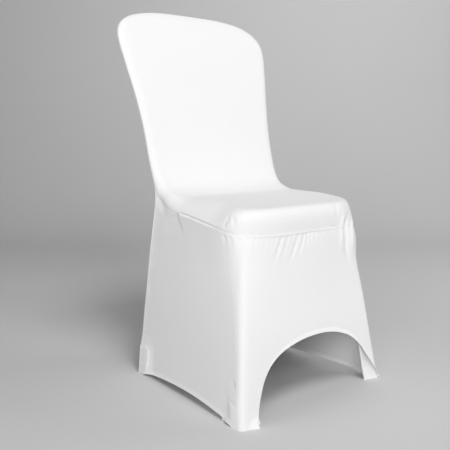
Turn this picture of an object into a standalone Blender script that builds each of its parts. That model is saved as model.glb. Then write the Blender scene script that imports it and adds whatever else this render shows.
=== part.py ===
"""Stretch chair cover with an arched front, drawn taut in the shape of a seat, its back and its legs.

Metres, +Z up. The sitter faces -Y, and the origin is on the floor, under the middle of the cover.
The cover is hollow. It is sewn from a front panel (inner back and seat in one strip), an outer back
panel, a skirt that wraps round both sides and the arched front, and four foot pockets.
"""

import math

import bmesh
import bpy
import numpy as np
from mathutils.kdtree import KDTree

# The tables measure y from under the seat; the cover's own middle lies this far behind.
MIDDLE_Y = 0.0602

# The sheet and its seams
SHEET = 0.002
SEAM_DRAW_BACK = 0.00026
MITRE_LIMIT = 0.2
WELD = 0.00001
SHELL_LIMIT = 1.3
BACK_EDGE_ROUNDING = 0.022

# The centre line of the front panel, from the crown of the back to the front edge of the seat.
# depth is how far the seam lies behind or below that face, and half_width is out to the seam.
FACE_COLUMNS = ("y", "z", "depth", "half_width")
FACE_ROWS = (
    (0.2990, 0.942, 0.010, 0.2450),
    (0.2660, 0.870, 0.010, 0.2435),
    (0.2415, 0.790, 0.010, 0.2325),
    (0.2195, 0.710, 0.010, 0.2190),
    (0.2000, 0.630, 0.010, 0.2100),
    (0.1830, 0.565, 0.011, 0.2080),
    (0.1650, 0.520, 0.015, 0.2065),
    (0.1420, 0.492, 0.027, 0.2065),
    (0.1060, 0.476, 0.033, 0.2070),
    (0.0500, 0.471, 0.036, 0.2070),
    (-0.0200, 0.469, 0.045, 0.2055),
    (-0.0900, 0.463, 0.050, 0.2035),
    (-0.1600, 0.456, 0.056, 0.2005),
)
# The crown and the seat's front edge are rounded as flattened ovals of this reach and squareness.
CROWN_REACH = 0.128
CROWN_SQUARENESS = 3.3
SEAT_NOSE_REACH = 0.135
SEAT_NOSE_SQUARENESS = 4.3
# Height of the face beside which the front panel, the back panel and the skirt all meet.
JUNCTION_FACE_HEIGHT = 0.504
SEAT_CROWN = 0.004
INNER_BACK_DISH = 0.003
# The stretch of the front panel over which the inner back's dish turns into the seat's crown
SEAT_TURN_START = 0.50
SEAT_TURN_LENGTH = 0.12
# How the seat's edge rises from the seam to the face: under 1 it climbs steeply and turns in tightly,
# over 1 it slants, as the cloth does round the right front corner.
SEAT_EDGE_POWER = 0.45
RIGHT_CORNER_POWER = 1.25
RIGHT_CORNER_START = {"x": 0.11, "station": 0.64}
RIGHT_CORNER_FADE = {"x": 0.06, "station": 0.08}

# The seam between the outer back panel and the skirt, down the rear legs. wrap is how far the rear
# face lies behind the seam, and swell is how far the middle of the panel bows out past its edges.
REAR_COLUMNS = ("z", "y", "half_width", "wrap", "swell")
REAR_ROWS = (
    (0.468, 0.1665, 0.2080, 0.012, 0.017),
    (0.436, 0.1670, 0.2095, 0.013, 0.012),
    (0.398, 0.1745, 0.2100, 0.014, 0.006),
    (0.320, 0.1900, 0.2105, 0.016, 0.000),
    (0.226, 0.2060, 0.2110, 0.018, -0.003),
    (0.143, 0.2210, 0.2115, 0.018, -0.005),
    (0.095, 0.2285, 0.2120, 0.018, -0.006),
    (0.000, 0.2380, 0.2125, 0.018, -0.006),
)
BACK_SWELL = 0.020
BACK_SWELL_START = 0.12
BACK_WRAP = 0.012
BACK_CORNER = 0.020

# The front legs' outer edges: where the skirt's side and front would meet, how far the edge's turn
# reaches along each, and how square that turn is: 2 is round, and more is sharper.
LEG_COLUMNS = ("z", "left", "right", "y", "radius", "left_square", "right_square", "bow")
LEG_ROWS = (
    (0.400, 0.1995, 0.2025, -0.1485, 0.050, 6.0, 2.0, 0.011),
    (0.334, 0.2006, 0.2030, -0.1502, 0.045, 5.5, 2.0, 0.008),
    (0.254, 0.2078, 0.2078, -0.1588, 0.030, 4.0, 2.0, 0.003),
    (0.171, 0.2186, 0.2135, -0.1716, 0.025, 3.5, 2.0, 0.000),
    (0.071, 0.2305, 0.2245, -0.1850, 0.022, 3.2, 2.0, -0.004),
    (0.000, 0.2385, 0.2335, -0.1950, 0.020, 3.0, 2.0, -0.004),
)
# How quickly the skirt leaves the waist seam's line for that of the legs
SLIP_POWER = 4
# How far the taut side walls are drawn in between their legs, at the waist and at the hem. Below 0
# they bow out.
SIDE_DRAW_IN = {"left": (-0.002, 0.002), "right": (0.004, 0.024)}
SIDE_DRAW_POWER = 1.5
WAIST_HEIGHT = 0.40

# The arch of the front hem, seen from the front, from the left foot to the right one.
ARCH_COLUMNS = ("x", "z")
ARCH_ROWS = (
    (-0.194, 0.000),
    (-0.188, 0.025),
    (-0.179, 0.052),
    (-0.163, 0.089),
    (-0.140, 0.117),
    (-0.107, 0.138),
    (-0.064, 0.151),
    (0.010, 0.159),
    (0.062, 0.155),
    (0.100, 0.145),
    (0.134, 0.129),
    (0.161, 0.106),
    (0.187, 0.072),
    (0.208, 0.044),
    (0.2235, 0.020),
    (0.231, 0.000),
)
SIDE_HEM_RISE = 0.0180
SIDE_HEM_POWER = 0.6
FOOT_SPAN = 0.03
REAR_HEM_RISE = 0.016
REAR_HEM_REACH = 0.165
REAR_HEM_PULL_HEIGHT = 0.30
# Perimeter mark where the arch's foot ends and the left side's hem starts
ARCH_FOOT_MARK = 1.5
# The floor corner of the front right foot is pulled out into a point, round this perimeter mark.
CORNER_POINT_MARK = 3.6
CORNER_POINT_REACH = 0.6
CORNER_POINT_OUT = 0.011
CORNER_POINT_FORWARD = 0.3
CORNER_POINT_HEIGHT = 0.030
CORNER_POINT_POWER = 1.5
# The rear feet swell the cloth out over their pockets.
FOOT_SWELL = 0.007
FOOT_SWELL_FADE_UP = (0.045, 0.110)
FOOT_SWELL_FADE_ALONG = (0.018, 0.062)

# Soft folds of the skirt: ends on the cloth seen from the front, width across, and depth, which is
# positive for a trough and negative for a ridge.
FOLD_COLUMNS = ("x_top", "z_top", "x_low", "z_low", "width", "depth")
FOLD_ROWS = (
    (-0.152, 0.398, -0.166, 0.330, 0.014, 0.0020),
    (-0.098, 0.398, -0.122, 0.325, 0.013, 0.0025),
    (-0.038, 0.398, -0.070, 0.320, 0.014, 0.0030),
    (0.002, 0.398, -0.026, 0.330, 0.012, 0.0025),
    (0.030, 0.398, 0.012, 0.345, 0.011, 0.0018),
    (0.148, 0.405, 0.150, 0.290, 0.016, 0.0035),
    (0.172, 0.415, 0.176, 0.300, 0.016, -0.0035),
    (0.126, 0.405, 0.129, 0.320, 0.014, -0.0022),
)

# The share of a fold's length over which it sets in, and the share after which it fades.
FOLD_SETS_IN = 0.2
FOLD_FADES_FROM = 0.35
# Folds end on the sides, behind this y and over this length.
FOLDS_BEHIND_Y = 0.02
FOLDS_BEHIND_FADE = 0.05

# Places where the cloth stands out from, or is drawn in towards, the middle of the cover.
BULGE_COLUMNS = ("x", "y", "z", "reach", "height", "out")
BULGE_ROWS = (
    (0.185, -0.135, 0.365, 0.055, 0.042, 0.0080),
    (-0.190, -0.135, 0.395, 0.040, 0.022, 0.0015),
)

# Foot pockets: a cup of doubled cloth inside each corner of the hem.
POCKET_COLUMNS = (
    "name", "front", "right", "side_reach", "floor_x", "floor_y", "top_x", "top_y", "height",
)
POCKET_ROWS = (
    ("foot_pocket_front_left", True, False, 0.074, -0.176, -0.192, -0.192, -0.179, 0.088),
    ("foot_pocket_front_right", True, True, 0.074, 0.195, -0.171, 0.162, -0.176, 0.100),
    ("foot_pocket_rear_left", False, False, 0.050, 0.050, 0.0, 0.0, 0.0, 0.084),
    ("foot_pocket_rear_right", False, True, 0.050, 0.050, 0.0, 0.0, 0.0, 0.084),
)
POCKET_CLEARANCE = 0.0015
POCKET_TUCK = 0.35
POCKET_BELLY = 0.30
POCKET_CAP = 0.011
POCKET_LEAN = 0.6
POCKET_AROUND = 11
POCKET_INSIDE = 6
POCKET_LEVELS = 4
POCKET_WALL_COLUMNS = 4
MITRE_OF_RING = 0.45

# How finely the panels are cut into faces
ACROSS = 16
CROWN_TO_JUNCTION = 12
JUNCTION_TO_NOSE = 14
SKIRT_ROWS = 13
FRONT_SPLITS = 3
ROUNDING_STEPS = 3
ROWS_CROWD_UP = 1.3
OVAL_POINTS = 60
STRAIGHT_POINTS = 200
ARCH_POINTS = 160
ARCH_FOOT_POINTS = 20
# Extra length that a turn of one radian counts for when faces are shared out along a curve
TURN_LENGTH = 0.06
TINY = 0.000001

WHITE_CLOTH = {"color": (0.93, 0.93, 0.925, 1.0), "roughness": 0.72, "metallic": 0.0}
POCKET_CLOTH = {"color": (0.90, 0.90, 0.90, 1.0), "roughness": 0.80, "metallic": 0.0}


def column(columns, rows, name):
    """One named column of a table as an array."""
    return np.array([row[columns.index(name)] for row in rows])


def smooth(knots, values, at):
    """A smooth curve through values at rising knots, read at one place or several."""
    knots = np.asarray(knots, float)
    values = np.asarray(values, float)
    at = np.clip(np.asarray(at, float), knots[0], knots[-1])
    slopes = np.gradient(values, knots, axis=0)
    k = np.clip(np.searchsorted(knots, at, side="right") - 1, 0, len(knots) - 2)
    span = knots[k + 1] - knots[k]
    t = (at - knots[k]) / span
    if values.ndim > 1:
        span, t = span[..., None], t[..., None]
    start = (2 * t**3 - 3 * t**2 + 1) * values[k] + (t**3 - 2 * t**2 + t) * span * slopes[k]
    end = (3 * t**2 - 2 * t**3) * values[k + 1] + (t**3 - t**2) * span * slopes[k + 1]
    return start + end


def along(points):
    """Distance along a run of points, from 0 at the first."""
    steps = np.linalg.norm(np.diff(points, axis=0), axis=1)
    return np.concatenate([[0.0], np.cumsum(steps)])


def paced(points, turn_length=TURN_LENGTH):
    """Distance along a run of points, with its turns counted as extra length."""
    steps = np.diff(points, axis=0)
    lengths = np.linalg.norm(steps, axis=1)
    ways = steps / np.maximum(lengths, TINY)[:, None]
    turns = np.arccos(np.clip(np.sum(ways[1:] * ways[:-1], axis=1), -1, 1))
    extra = np.concatenate([[0.0], turns / 2]) + np.concatenate([turns / 2, [0.0]])
    return np.concatenate([[0.0], np.cumsum(lengths + turn_length * extra)])


def resample(points, count, turn_length=TURN_LENGTH):
    """The run of points cut into count pieces, which are shorter where it turns."""
    reach = paced(points, turn_length)
    at = np.linspace(0, reach[-1], count + 1)
    return np.stack([np.interp(at, reach, points[:, i]) for i in range(points.shape[1])], axis=1)


def drop_shares():
    """How far down each row of the skirt lies, closer together under the waist."""
    return np.linspace(0, 1, SKIRT_ROWS + 1) ** ROWS_CROWD_UP


def ease(t):
    """0 below 0, 1 above 1 and a smooth step between."""
    t = np.clip(t, 0.0, 1.0)
    return t * t * (3 - 2 * t)


FACE_YZ = np.stack([column(FACE_COLUMNS, FACE_ROWS, "y"), column(FACE_COLUMNS, FACE_ROWS, "z")], axis=1)
FACE_STATIONS = along(FACE_YZ)
FACE_END = FACE_STATIONS[-1]
JUNCTION_STATION = float(np.interp(-JUNCTION_FACE_HEIGHT, -FACE_YZ[:, 1], FACE_STATIONS))


def face_point(station):
    """Centre line (y, z) and its outward normal at a distance from the crown."""
    step = 0.002
    here = smooth(FACE_STATIONS, FACE_YZ, station)
    ahead = smooth(FACE_STATIONS, FACE_YZ, np.minimum(station + step, FACE_END))
    behind = smooth(FACE_STATIONS, FACE_YZ, np.maximum(station - step, 0.0))
    run = ahead - behind
    run = run / np.linalg.norm(run, axis=-1, keepdims=True)
    normal = np.stack([run[..., 1], -run[..., 0]], axis=-1)
    return here, normal


def face_column(name, station):
    """A column of the front panel's table at a distance from the crown."""
    return smooth(FACE_STATIONS, column(FACE_COLUMNS, FACE_ROWS, name), station)


def oval(reach, squareness, start, end):
    """Part of a flattened oval, as (share of the half width, distance from the oval's base)."""
    turn = np.linspace(start, end, OVAL_POINTS)
    power = 2 / squareness
    return np.stack([np.abs(np.cos(turn)) ** power, reach * np.sin(turn) ** power], axis=1)


def outline(inset):
    """The front panel's outline in (x, station), drawn in by inset: its four sides, each from one
    rounded corner's middle to the next. The sides run crown, right, nose, left."""
    crown_base = CROWN_REACH
    nose_base = FACE_END - SEAT_NOSE_REACH
    corner = math.pi / 4

    def width(station):
        return face_column("half_width", station) - inset

    def placed(part, base, sign):
        station = base + sign * part[:, 1]
        return np.stack([part[:, 0] * width(station), station], axis=1)

    def end(reach, squareness, base, sign):
        """The end's edge from the corner to the centre line, and its flank from the base up."""
        cap = oval(reach - inset, squareness, corner, math.pi / 2)
        flank = oval(reach - inset, squareness, 0.0, corner)
        return placed(cap, base, sign), placed(flank, base, sign)

    crown_cap, crown_flank = end(CROWN_REACH, CROWN_SQUARENESS, crown_base, -1)
    nose_cap, nose_flank = end(SEAT_NOSE_REACH, SEAT_NOSE_SQUARENESS, nose_base, 1)
    straight = np.linspace(crown_base, nose_base, STRAIGHT_POINTS)
    edge = np.stack([width(straight), straight], axis=1)[1:-1]
    crown = np.concatenate([mirrored(crown_cap), crown_cap[::-1][1:]])
    right = np.concatenate([crown_flank[::-1], edge, nose_flank])
    nose = np.concatenate([nose_cap, mirrored(nose_cap)[::-1][1:]])
    return crown, right, nose, mirrored(right)[::-1]


def edge_power(x, station):
    """How the edge of the front panel rises from its seam: 1 is round, less is tighter at the top."""
    on_seat = ease((station - SEAT_TURN_START) / SEAT_TURN_LENGTH)
    corner = ease((x - RIGHT_CORNER_START["x"]) / RIGHT_CORNER_FADE["x"])
    corner = corner * ease((station - RIGHT_CORNER_START["station"]) / RIGHT_CORNER_FADE["station"])
    power = SEAT_EDGE_POWER + (RIGHT_CORNER_POWER - SEAT_EDGE_POWER) * corner
    return 1 + (power - 1) * on_seat


def mirrored(points):
    """The points with x turned round."""
    return points * np.array([-1.0] + [1.0] * (points.shape[1] - 1))


def split_side(side, counts, at):
    """A side cut at a station into two runs, resampled to counts[0] and counts[1] lengths."""
    down = side[:, 1]
    before = side[down <= at]
    after = side[down > at]
    cut = np.array([[np.interp(at, down, side[:, 0]), at]])
    first = resample(np.concatenate([before, cut]), counts[0])
    second = resample(np.concatenate([cut, after]), counts[1])
    return np.concatenate([first, second[1:]])


def coons(top, right, bottom, left):
    """Fills four boundary runs with a grid. top and bottom run left to right, the sides downwards."""
    rows, columns = len(left), len(top)
    u = np.linspace(0, 1, columns)[None, :, None]
    v = np.linspace(0, 1, rows)[:, None, None]
    ruled_sides = (1 - u) * left[:, None, :] + u * right[:, None, :]
    ruled_ends = (1 - v) * top[None] + v * bottom[None]
    corners = (
        (1 - u) * (1 - v) * top[0] + u * (1 - v) * top[-1]
        + (1 - u) * v * bottom[0] + u * v * bottom[-1]
    )
    return ruled_sides + ruled_ends - corners


def bulged(points):
    """The skin's points with the cover's local bulges."""
    points = np.array(points)
    away = points[:, :2] / np.maximum(np.linalg.norm(points[:, :2], axis=1), TINY)[:, None]
    for x, y, z, reach, height, out in BULGE_ROWS:
        plan = np.linalg.norm(points[:, :2] - np.array([x, y]), axis=1)
        near = np.exp(-((plan / reach) ** 2) - ((points[:, 2] - z) / height) ** 2)
        points[:, :2] += away * (out * near)[:, None]
    return points


def front_panel_rings():
    """The outline and the rounding's inner rings, each as a closed run of (x, station, height),
    where height goes from 0 at the seam to 1 on the face."""
    rings = []
    for step in range(ROUNDING_STEPS + 1):
        angle = math.pi / 2 * step / ROUNDING_STEPS
        inset = BACK_EDGE_ROUNDING * (1 - math.cos(angle))
        crown, right, nose, left = outline(inset)
        sides = (
            resample(crown, ACROSS),
            split_side(right, (CROWN_TO_JUNCTION, JUNCTION_TO_NOSE), JUNCTION_STATION),
            resample(nose, ACROSS),
            split_side(left[::-1], (CROWN_TO_JUNCTION, JUNCTION_TO_NOSE), JUNCTION_STATION)[::-1],
        )
        rings.append((sides, math.sin(angle)))
    return rings


def front_panel_point(x, station, height):
    """A point of the front panel's outer face."""
    centre, normal = face_point(station)
    height = height ** edge_power(x, station)
    depth = face_column("depth", station)
    across = np.clip(np.abs(x) / face_column("half_width", station), 0, 1)
    on_seat = ease((station - SEAT_TURN_START) / SEAT_TURN_LENGTH)
    crown = (1 - across**2) * (SEAT_CROWN * on_seat - INNER_BACK_DISH * (1 - on_seat)) * height
    lift = crown - (1 - height) * depth
    yz = centre + normal * lift[..., None]
    return np.stack([x, yz[..., 0], yz[..., 1]], axis=-1)


def closed(sides):
    """Four sides joined into one closed run, without repeating the corners."""
    return np.concatenate([side[:-1] for side in sides])


def front_panel_grid():
    """Outer points and faces of the front panel, with its seam points in order."""
    rings = front_panel_rings()
    points, faces = [], []
    for sides, height in rings:
        run = closed(sides)
        points.append(front_panel_point(run[:, 0], run[:, 1], np.full(len(run), height)))
    count = len(points[0])
    for k in range(ROUNDING_STEPS):
        for i in range(count):
            j = (i + 1) % count
            faces.append((k * count + i, (k + 1) * count + i, (k + 1) * count + j, k * count + j))
    crown, right, nose, left = rings[-1][0]
    grid = coons(crown, right, nose[::-1], left[::-1])
    points, faces = fill_inside(points, faces, grid, count)
    return points, faces, set(range(count))


def fill_inside(rings, faces, grid, count):
    """Adds the front panel's grid inside the innermost ring, whose points it shares."""
    rows, columns = grid.shape[:2]
    ring_start = (len(rings) - 1) * count
    index = -np.ones((rows, columns), int)
    border = [(0, c) for c in range(columns - 1)]
    border += [(r, columns - 1) for r in range(rows - 1)]
    border += [(rows - 1, c) for c in range(columns - 1, 0, -1)]
    border += [(r, 0) for r in range(rows - 1, 0, -1)]
    for n, (r, c) in enumerate(border):
        index[r, c] = ring_start + n
    points = np.concatenate(rings)
    inner = grid[1:-1, 1:-1].reshape(-1, 2)
    placed = front_panel_point(inner[:, 0], inner[:, 1], np.ones(len(inner)))
    index[1:-1, 1:-1] = len(points) + np.arange(len(placed)).reshape(rows - 2, columns - 2)
    points = np.concatenate([points, placed])
    for r in range(rows - 1):
        for c in range(columns - 1):
            faces.append((index[r, c], index[r + 1, c], index[r + 1, c + 1], index[r, c + 1]))
    return points, faces


def seam_line(station):
    """The outer back panel's seam (y, z) from the crown down to the floor."""
    centre, normal = face_point(np.minimum(station, JUNCTION_STATION))
    depth = face_column("depth", np.minimum(station, JUNCTION_STATION))
    upper = centre - normal * depth[..., None]
    lower = smooth(LOWER_STATIONS, LOWER_YZ, station)
    return np.where((station <= JUNCTION_STATION)[..., None], upper, lower)


def lower_seam_table():
    """The rear leg's seam as stations and (y, z), starting at the junction."""
    junction, normal = face_point(np.array(JUNCTION_STATION))
    start = junction - normal * face_column("depth", JUNCTION_STATION)
    rows = np.stack([column(REAR_COLUMNS, REAR_ROWS, "y"), column(REAR_COLUMNS, REAR_ROWS, "z")], axis=1)
    line = np.concatenate([start[None], rows])
    return JUNCTION_STATION + along(line), line


LOWER_STATIONS, LOWER_YZ = lower_seam_table()
REAR_END = LOWER_STATIONS[-1]


def rear_column(name, at_junction, station):
    """A column of the rear table below the junction, blended from its value above the junction."""
    values = np.concatenate([[at_junction], column(REAR_COLUMNS, REAR_ROWS, name)])
    return smooth(LOWER_STATIONS, values, station)


def rear_half_width(station):
    """Half the width of the outer back panel."""
    upper = face_column("half_width", np.minimum(station, JUNCTION_STATION))
    lower = rear_column("half_width", face_column("half_width", JUNCTION_STATION), station)
    return np.where(station <= JUNCTION_STATION, upper, lower)


def foot_swell(z, distance):
    """How far the cloth stands out over a rear foot."""
    up = ease((z - FOOT_SWELL_FADE_UP[0]) / (FOOT_SWELL_FADE_UP[1] - FOOT_SWELL_FADE_UP[0]))
    reach = FOOT_SWELL_FADE_ALONG[1] - FOOT_SWELL_FADE_ALONG[0]
    sideways = ease((distance - FOOT_SWELL_FADE_ALONG[0]) / reach)
    return FOOT_SWELL * (1 - up) * (1 - sideways)


def rear_hem_height(x):
    """Height of the rear hem over the floor."""
    clear = np.clip(1 - np.abs(x) / REAR_HEM_REACH, 0, 1)
    return REAR_HEM_RISE * np.sin(clear * math.pi / 2)


def back_panel_point(x, station, height):
    """A point of the outer back panel's outer face."""
    seam = seam_line(station)
    wrap = np.where(
        station <= JUNCTION_STATION, BACK_WRAP, rear_column("wrap", BACK_WRAP, station)
    )
    fade = ease(station / BACK_SWELL_START) * BACK_SWELL
    swell = np.where(station <= JUNCTION_STATION, fade, rear_column("swell", BACK_SWELL, station))
    half = rear_half_width(station)
    across = np.clip(np.abs(x) / half, 0, 1)
    y = seam[..., 0] + wrap * height + swell * (1 - across**2) * height
    z = seam[..., 1]
    corner = np.maximum(half - np.abs(x), 0)
    swollen = foot_swell(z, corner)
    y = y + swollen * height
    x = x + np.sign(x) * swollen * (1 - height)
    return np.stack([x, y, z], axis=-1)


def back_panel_rings():
    """Rings of the outer back panel, open at the hem: left side upwards, crown, right side down."""
    rings = []
    for step in range(ROUNDING_STEPS + 1):
        angle = math.pi / 2 * step / ROUNDING_STEPS
        inset = BACK_CORNER * (1 - math.cos(angle))
        crown, right, nose, left = outline(inset)
        upper = right[right[:, 1] <= JUNCTION_STATION]
        cut = np.array([[np.interp(JUNCTION_STATION, right[:, 1], right[:, 0]), JUNCTION_STATION]])
        upper = resample(np.concatenate([upper, cut]), CROWN_TO_JUNCTION)
        stations = JUNCTION_STATION + (REAR_END - JUNCTION_STATION) * drop_shares()[1:]
        lower = np.stack([rear_half_width(stations) - inset, stations], axis=1)
        down = np.concatenate([upper, lower])
        top = resample(crown, ACROSS)
        rings.append((mirrored(down)[::-1], top, down, math.sin(angle)))
    return rings


def back_panel_grid():
    """Outer points and faces of the outer back panel."""
    rings = back_panel_rings()
    points, faces = [], []
    for left, top, right, height in rings:
        run = np.concatenate([left[:-1], top[:-1], right])
        points.append(back_panel_point(run[:, 0], run[:, 1], np.full(len(run), height)))
    count = len(points[0])
    for k in range(ROUNDING_STEPS):
        for i in range(count - 1):
            a, b = k * count + i, (k + 1) * count + i
            faces.append((a, a + 1, b + 1, b))
    left, top, right, _ = rings[-1]
    hem_x = np.linspace(left[0, 0], right[-1, 0], ACROSS + 1)
    bottom = np.stack([hem_x, np.full(ACROSS + 1, REAR_END)], axis=1)
    grid = coons(top, right, bottom, left[::-1])
    rows, columns = grid.shape[:2]
    index = -np.ones((rows, columns), int)
    start = ROUNDING_STEPS * count
    for n in range(rows):
        index[n, 0] = start + rows - 1 - n
        index[n, -1] = start + rows - 1 + columns - 1 + n
    for c in range(columns):
        index[0, c] = start + rows - 1 + c
    points = np.concatenate(points)
    inner = grid[1:, 1:-1]
    placed = back_panel_point(inner[..., 0].ravel(), inner[..., 1].ravel(), np.ones(inner[..., 0].size))
    index[1:, 1:-1] = len(points) + np.arange(len(placed)).reshape(inner.shape[:2])
    points = np.concatenate([points, placed])
    for r in range(rows - 1):
        for c in range(columns - 1):
            faces.append((index[r, c], index[r, c + 1], index[r + 1, c + 1], index[r + 1, c]))
    points = raise_rear_hem(points)
    inner_rings = [np.arange(k * count, (k + 1) * count) for k in range(1, ROUNDING_STEPS)]
    low = SKIRT_ROWS + 1
    wall = range(POCKET_WALL_COLUMNS)
    left_index = [ring[:low][::-1] for ring in inner_rings] + [index[-low:, c] for c in wall]
    right_index = [ring[-low:] for ring in inner_rings] + [index[-low:, -1 - c] for c in wall]
    corners = [np.stack([points[i] for i in side], axis=1) for side in (left_index, right_index)]
    return points, faces, set(range(count)), corners


def raise_rear_hem(points):
    """Lifts the lowest part of the outer back panel to its hem line."""
    hem = rear_hem_height(points[:, 0])
    near = np.clip(1 - points[:, 2] / REAR_HEM_PULL_HEIGHT, 0, 1)
    points = points.copy()
    points[:, 2] += hem * near
    return points


def leg(name, z):
    """A column of the front legs' table at a height."""
    rows = LEG_ROWS[::-1]
    return smooth(column(LEG_COLUMNS, rows, "z"), column(LEG_COLUMNS, rows, name), z)


def rear_seam_at(z):
    """Plan place (half width, y) of the rear seam at a height below the junction."""
    order = slice(None, None, -1)
    stations = smooth(LOWER_YZ[order, 1], LOWER_STATIONS[order], z)
    seam = smooth(LOWER_STATIONS, LOWER_YZ, stations)
    return rear_half_width(stations), seam[..., 0]


def skirt_ring(p, z):
    """Plan place of the skirt at perimeter mark p and height z. From p 0 to 1 it is the left side,
    to 2 the left front edge, to 3 the front, to 4 the right front edge and to 5 the right side."""
    front, radius, bow = (leg(name, z) for name in ("y", "radius", "bow"))
    rear_half, rear_y = rear_seam_at(z)
    right = p > 2.5
    half = np.where(right, leg("right", z), leg("left", z))
    square = np.where(right, leg("right_square", z), leg("left_square", z))
    q = np.where(right, 5 - p, p)
    side = np.clip(q, 0, 1)
    turn = np.clip(q - 1, 0, 1) * math.pi / 2
    across = np.clip(p - 2, 0, 1)
    draw_top = np.where(right, SIDE_DRAW_IN["right"][0], SIDE_DRAW_IN["left"][0])
    draw_hem = np.where(right, SIDE_DRAW_IN["right"][1], SIDE_DRAW_IN["left"][1])
    draw = draw_hem + (draw_top - draw_hem) * ease(z / WAIST_HEIGHT)
    draw = draw * np.sin(math.pi * side) ** SIDE_DRAW_POWER
    side_x = rear_half + (half - rear_half) * side - draw
    side_y = rear_y + (front + radius - rear_y) * side
    swollen = foot_swell(z, rear_y - side_y)
    side_x = side_x + swollen
    reach = radius / (np.cos(turn) ** square + np.sin(turn) ** square) ** (1 / square)
    turn_x = half - radius + reach * np.cos(turn)
    turn_y = front + radius - reach * np.sin(turn)
    flat_left, flat_right = leg("left", z) - radius, leg("right", z) - radius
    flat_x = (flat_left + flat_right) * across - flat_left
    flat_y = front - bow * np.sin(math.pi * across)
    x = np.where(q <= 1, side_x, turn_x) * np.where(right, 1, -1)
    y = np.where(q <= 1, side_y, turn_y)
    on_front = (p > 2) & (p < 3)
    x = np.where(on_front, flat_x, x)
    y = np.where(on_front, flat_y, y)
    low = np.clip(1 - z / CORNER_POINT_HEIGHT, 0, 1) ** CORNER_POINT_POWER
    near = np.clip(1 - np.abs(p - CORNER_POINT_MARK) / CORNER_POINT_REACH, 0, 1)
    pulled = CORNER_POINT_OUT * low * near
    return np.stack([x + pulled, y - CORNER_POINT_FORWARD * pulled], axis=-1)


def perimeter_mark(point):
    """The perimeter mark of a point of the waist seam."""
    x, y, z = point
    left, right, front, radius = (float(leg(name, z)) for name in ("left", "right", "y", "radius"))
    half = left if x < 0 else right
    junction_y = LOWER_YZ[0, 0]
    if y >= front + radius:
        q = (junction_y - y) / (junction_y - front - radius)
        return q if x < 0 else 5 - q
    if abs(x) > half - radius:
        turn = math.atan2(front + radius - y, abs(x) - (half - radius))
        q = 1 + turn / (math.pi / 2)
        return q if x < 0 else 5 - q
    return 2 + (x + left - radius) / (left + right - 2 * radius)


def hem_marks():
    """The skirt's front hem in (perimeter mark, height): left foot, arch, right foot."""
    x = column(ARCH_COLUMNS, ARCH_ROWS, "x")
    z = column(ARCH_COLUMNS, ARCH_ROWS, "z")
    reach = along(np.stack([x, z], axis=1))
    fine = np.linspace(0, reach[-1], ARCH_POINTS)
    x, z = smooth(reach, x, fine), np.maximum(smooth(reach, z, fine), 0.0)
    radius = leg("radius", z)
    flat_left, flat_right = leg("left", z) - radius, leg("right", z) - radius
    front = 2 + (x + flat_left) / (flat_left + flat_right)
    past = np.clip((x - flat_right) / radius, 0, 1)
    marks = np.where(x > flat_right, 3 + np.arcsin(past) / (math.pi / 2), front)
    strip = np.linspace(ARCH_FOOT_MARK, marks[0], ARCH_FOOT_POINTS)[:-1]
    marks = np.concatenate([strip, marks])
    z = np.concatenate([np.zeros(len(strip)), z])
    plan = skirt_ring(marks, z)
    return marks, z, paced(np.column_stack([plan, z]))


def side_hem_height(q):
    """Height of a side hem, where q runs from 0 at the rear foot to 1 at the front foot."""
    clear = np.clip((q - FOOT_SPAN) / (1 - 2 * FOOT_SPAN), 0, 1)
    return SIDE_HEM_RISE * max(math.sin(math.pi * clear), 0.0) ** SIDE_HEM_POWER


def folds(x, z):
    """Depth of the skirt's soft folds at places seen from the front."""
    total = np.zeros_like(x)
    for row in FOLD_ROWS:
        x_top, z_top, x_low, z_low, width, depth = row
        down = np.clip((z_top - z) / (z_top - z_low), 0, 1)
        middle = x_top + (x_low - x_top) * down
        across = np.exp(-(((x - middle) / (width / 2)) ** 2))
        fade = ease((down - FOLD_FADES_FROM) / (1 - FOLD_FADES_FROM))
        total += depth * across * ease(down / FOLD_SETS_IN) * (1 - fade)
    return total


def skirt_grid(waist):
    """Outer points and faces of the skirt, hung from the waist seam's points."""
    marks = np.array([perimeter_mark(point) for point in waist])
    marks[0], marks[-1] = 0.0, 5.0
    hem_mark, hem_z, hem_reach = hem_marks()
    corners = JUNCTION_TO_NOSE, len(waist) - 1 - JUNCTION_TO_NOSE
    columns = []
    for n, point in enumerate(waist):
        if corners[0] <= n <= corners[1]:
            share = (n - corners[0]) / (corners[1] - corners[0])
            at = share * hem_reach[-1]
            low_mark, low_z = np.interp(at, hem_reach, hem_mark), np.interp(at, hem_reach, hem_z)
        else:
            left = n < corners[0]
            inner = marks[corners[0]] if left else 5 - marks[corners[1]]
            end = hem_mark[0] if left else 5 - hem_mark[-1]
            q = marks[n] if left else 5 - marks[n]
            low_q = q * end / inner
            low_mark = low_q if left else 5 - low_q
            low_z = float(side_hem_height(min(low_q, 1.0)))
        columns.append(skirt_column(point, marks[n], low_mark, low_z))
    grid = np.stack(columns, axis=1)
    front = ease((FOLDS_BEHIND_Y - grid[..., 1]) / FOLDS_BEHIND_FADE)
    grid[..., 1] += folds(grid[..., 0], grid[..., 2]) * front
    faces = []
    rows, count = grid.shape[:2]
    for r in range(rows - 1):
        for c in range(count - 1):
            a = r * count + c
            faces.append((a, a + count, a + count + 1, a + 1))
    index = np.arange(rows * count).reshape(rows, count)
    seam = set(index[0]) | set(index[:, 0]) | set(index[:, -1])
    left_corner, right_corner = grid[:, : corners[0] + 1], grid[:, corners[1]:][:, ::-1]
    return grid.reshape(-1, 3), faces, seam, (left_corner, right_corner)


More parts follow.
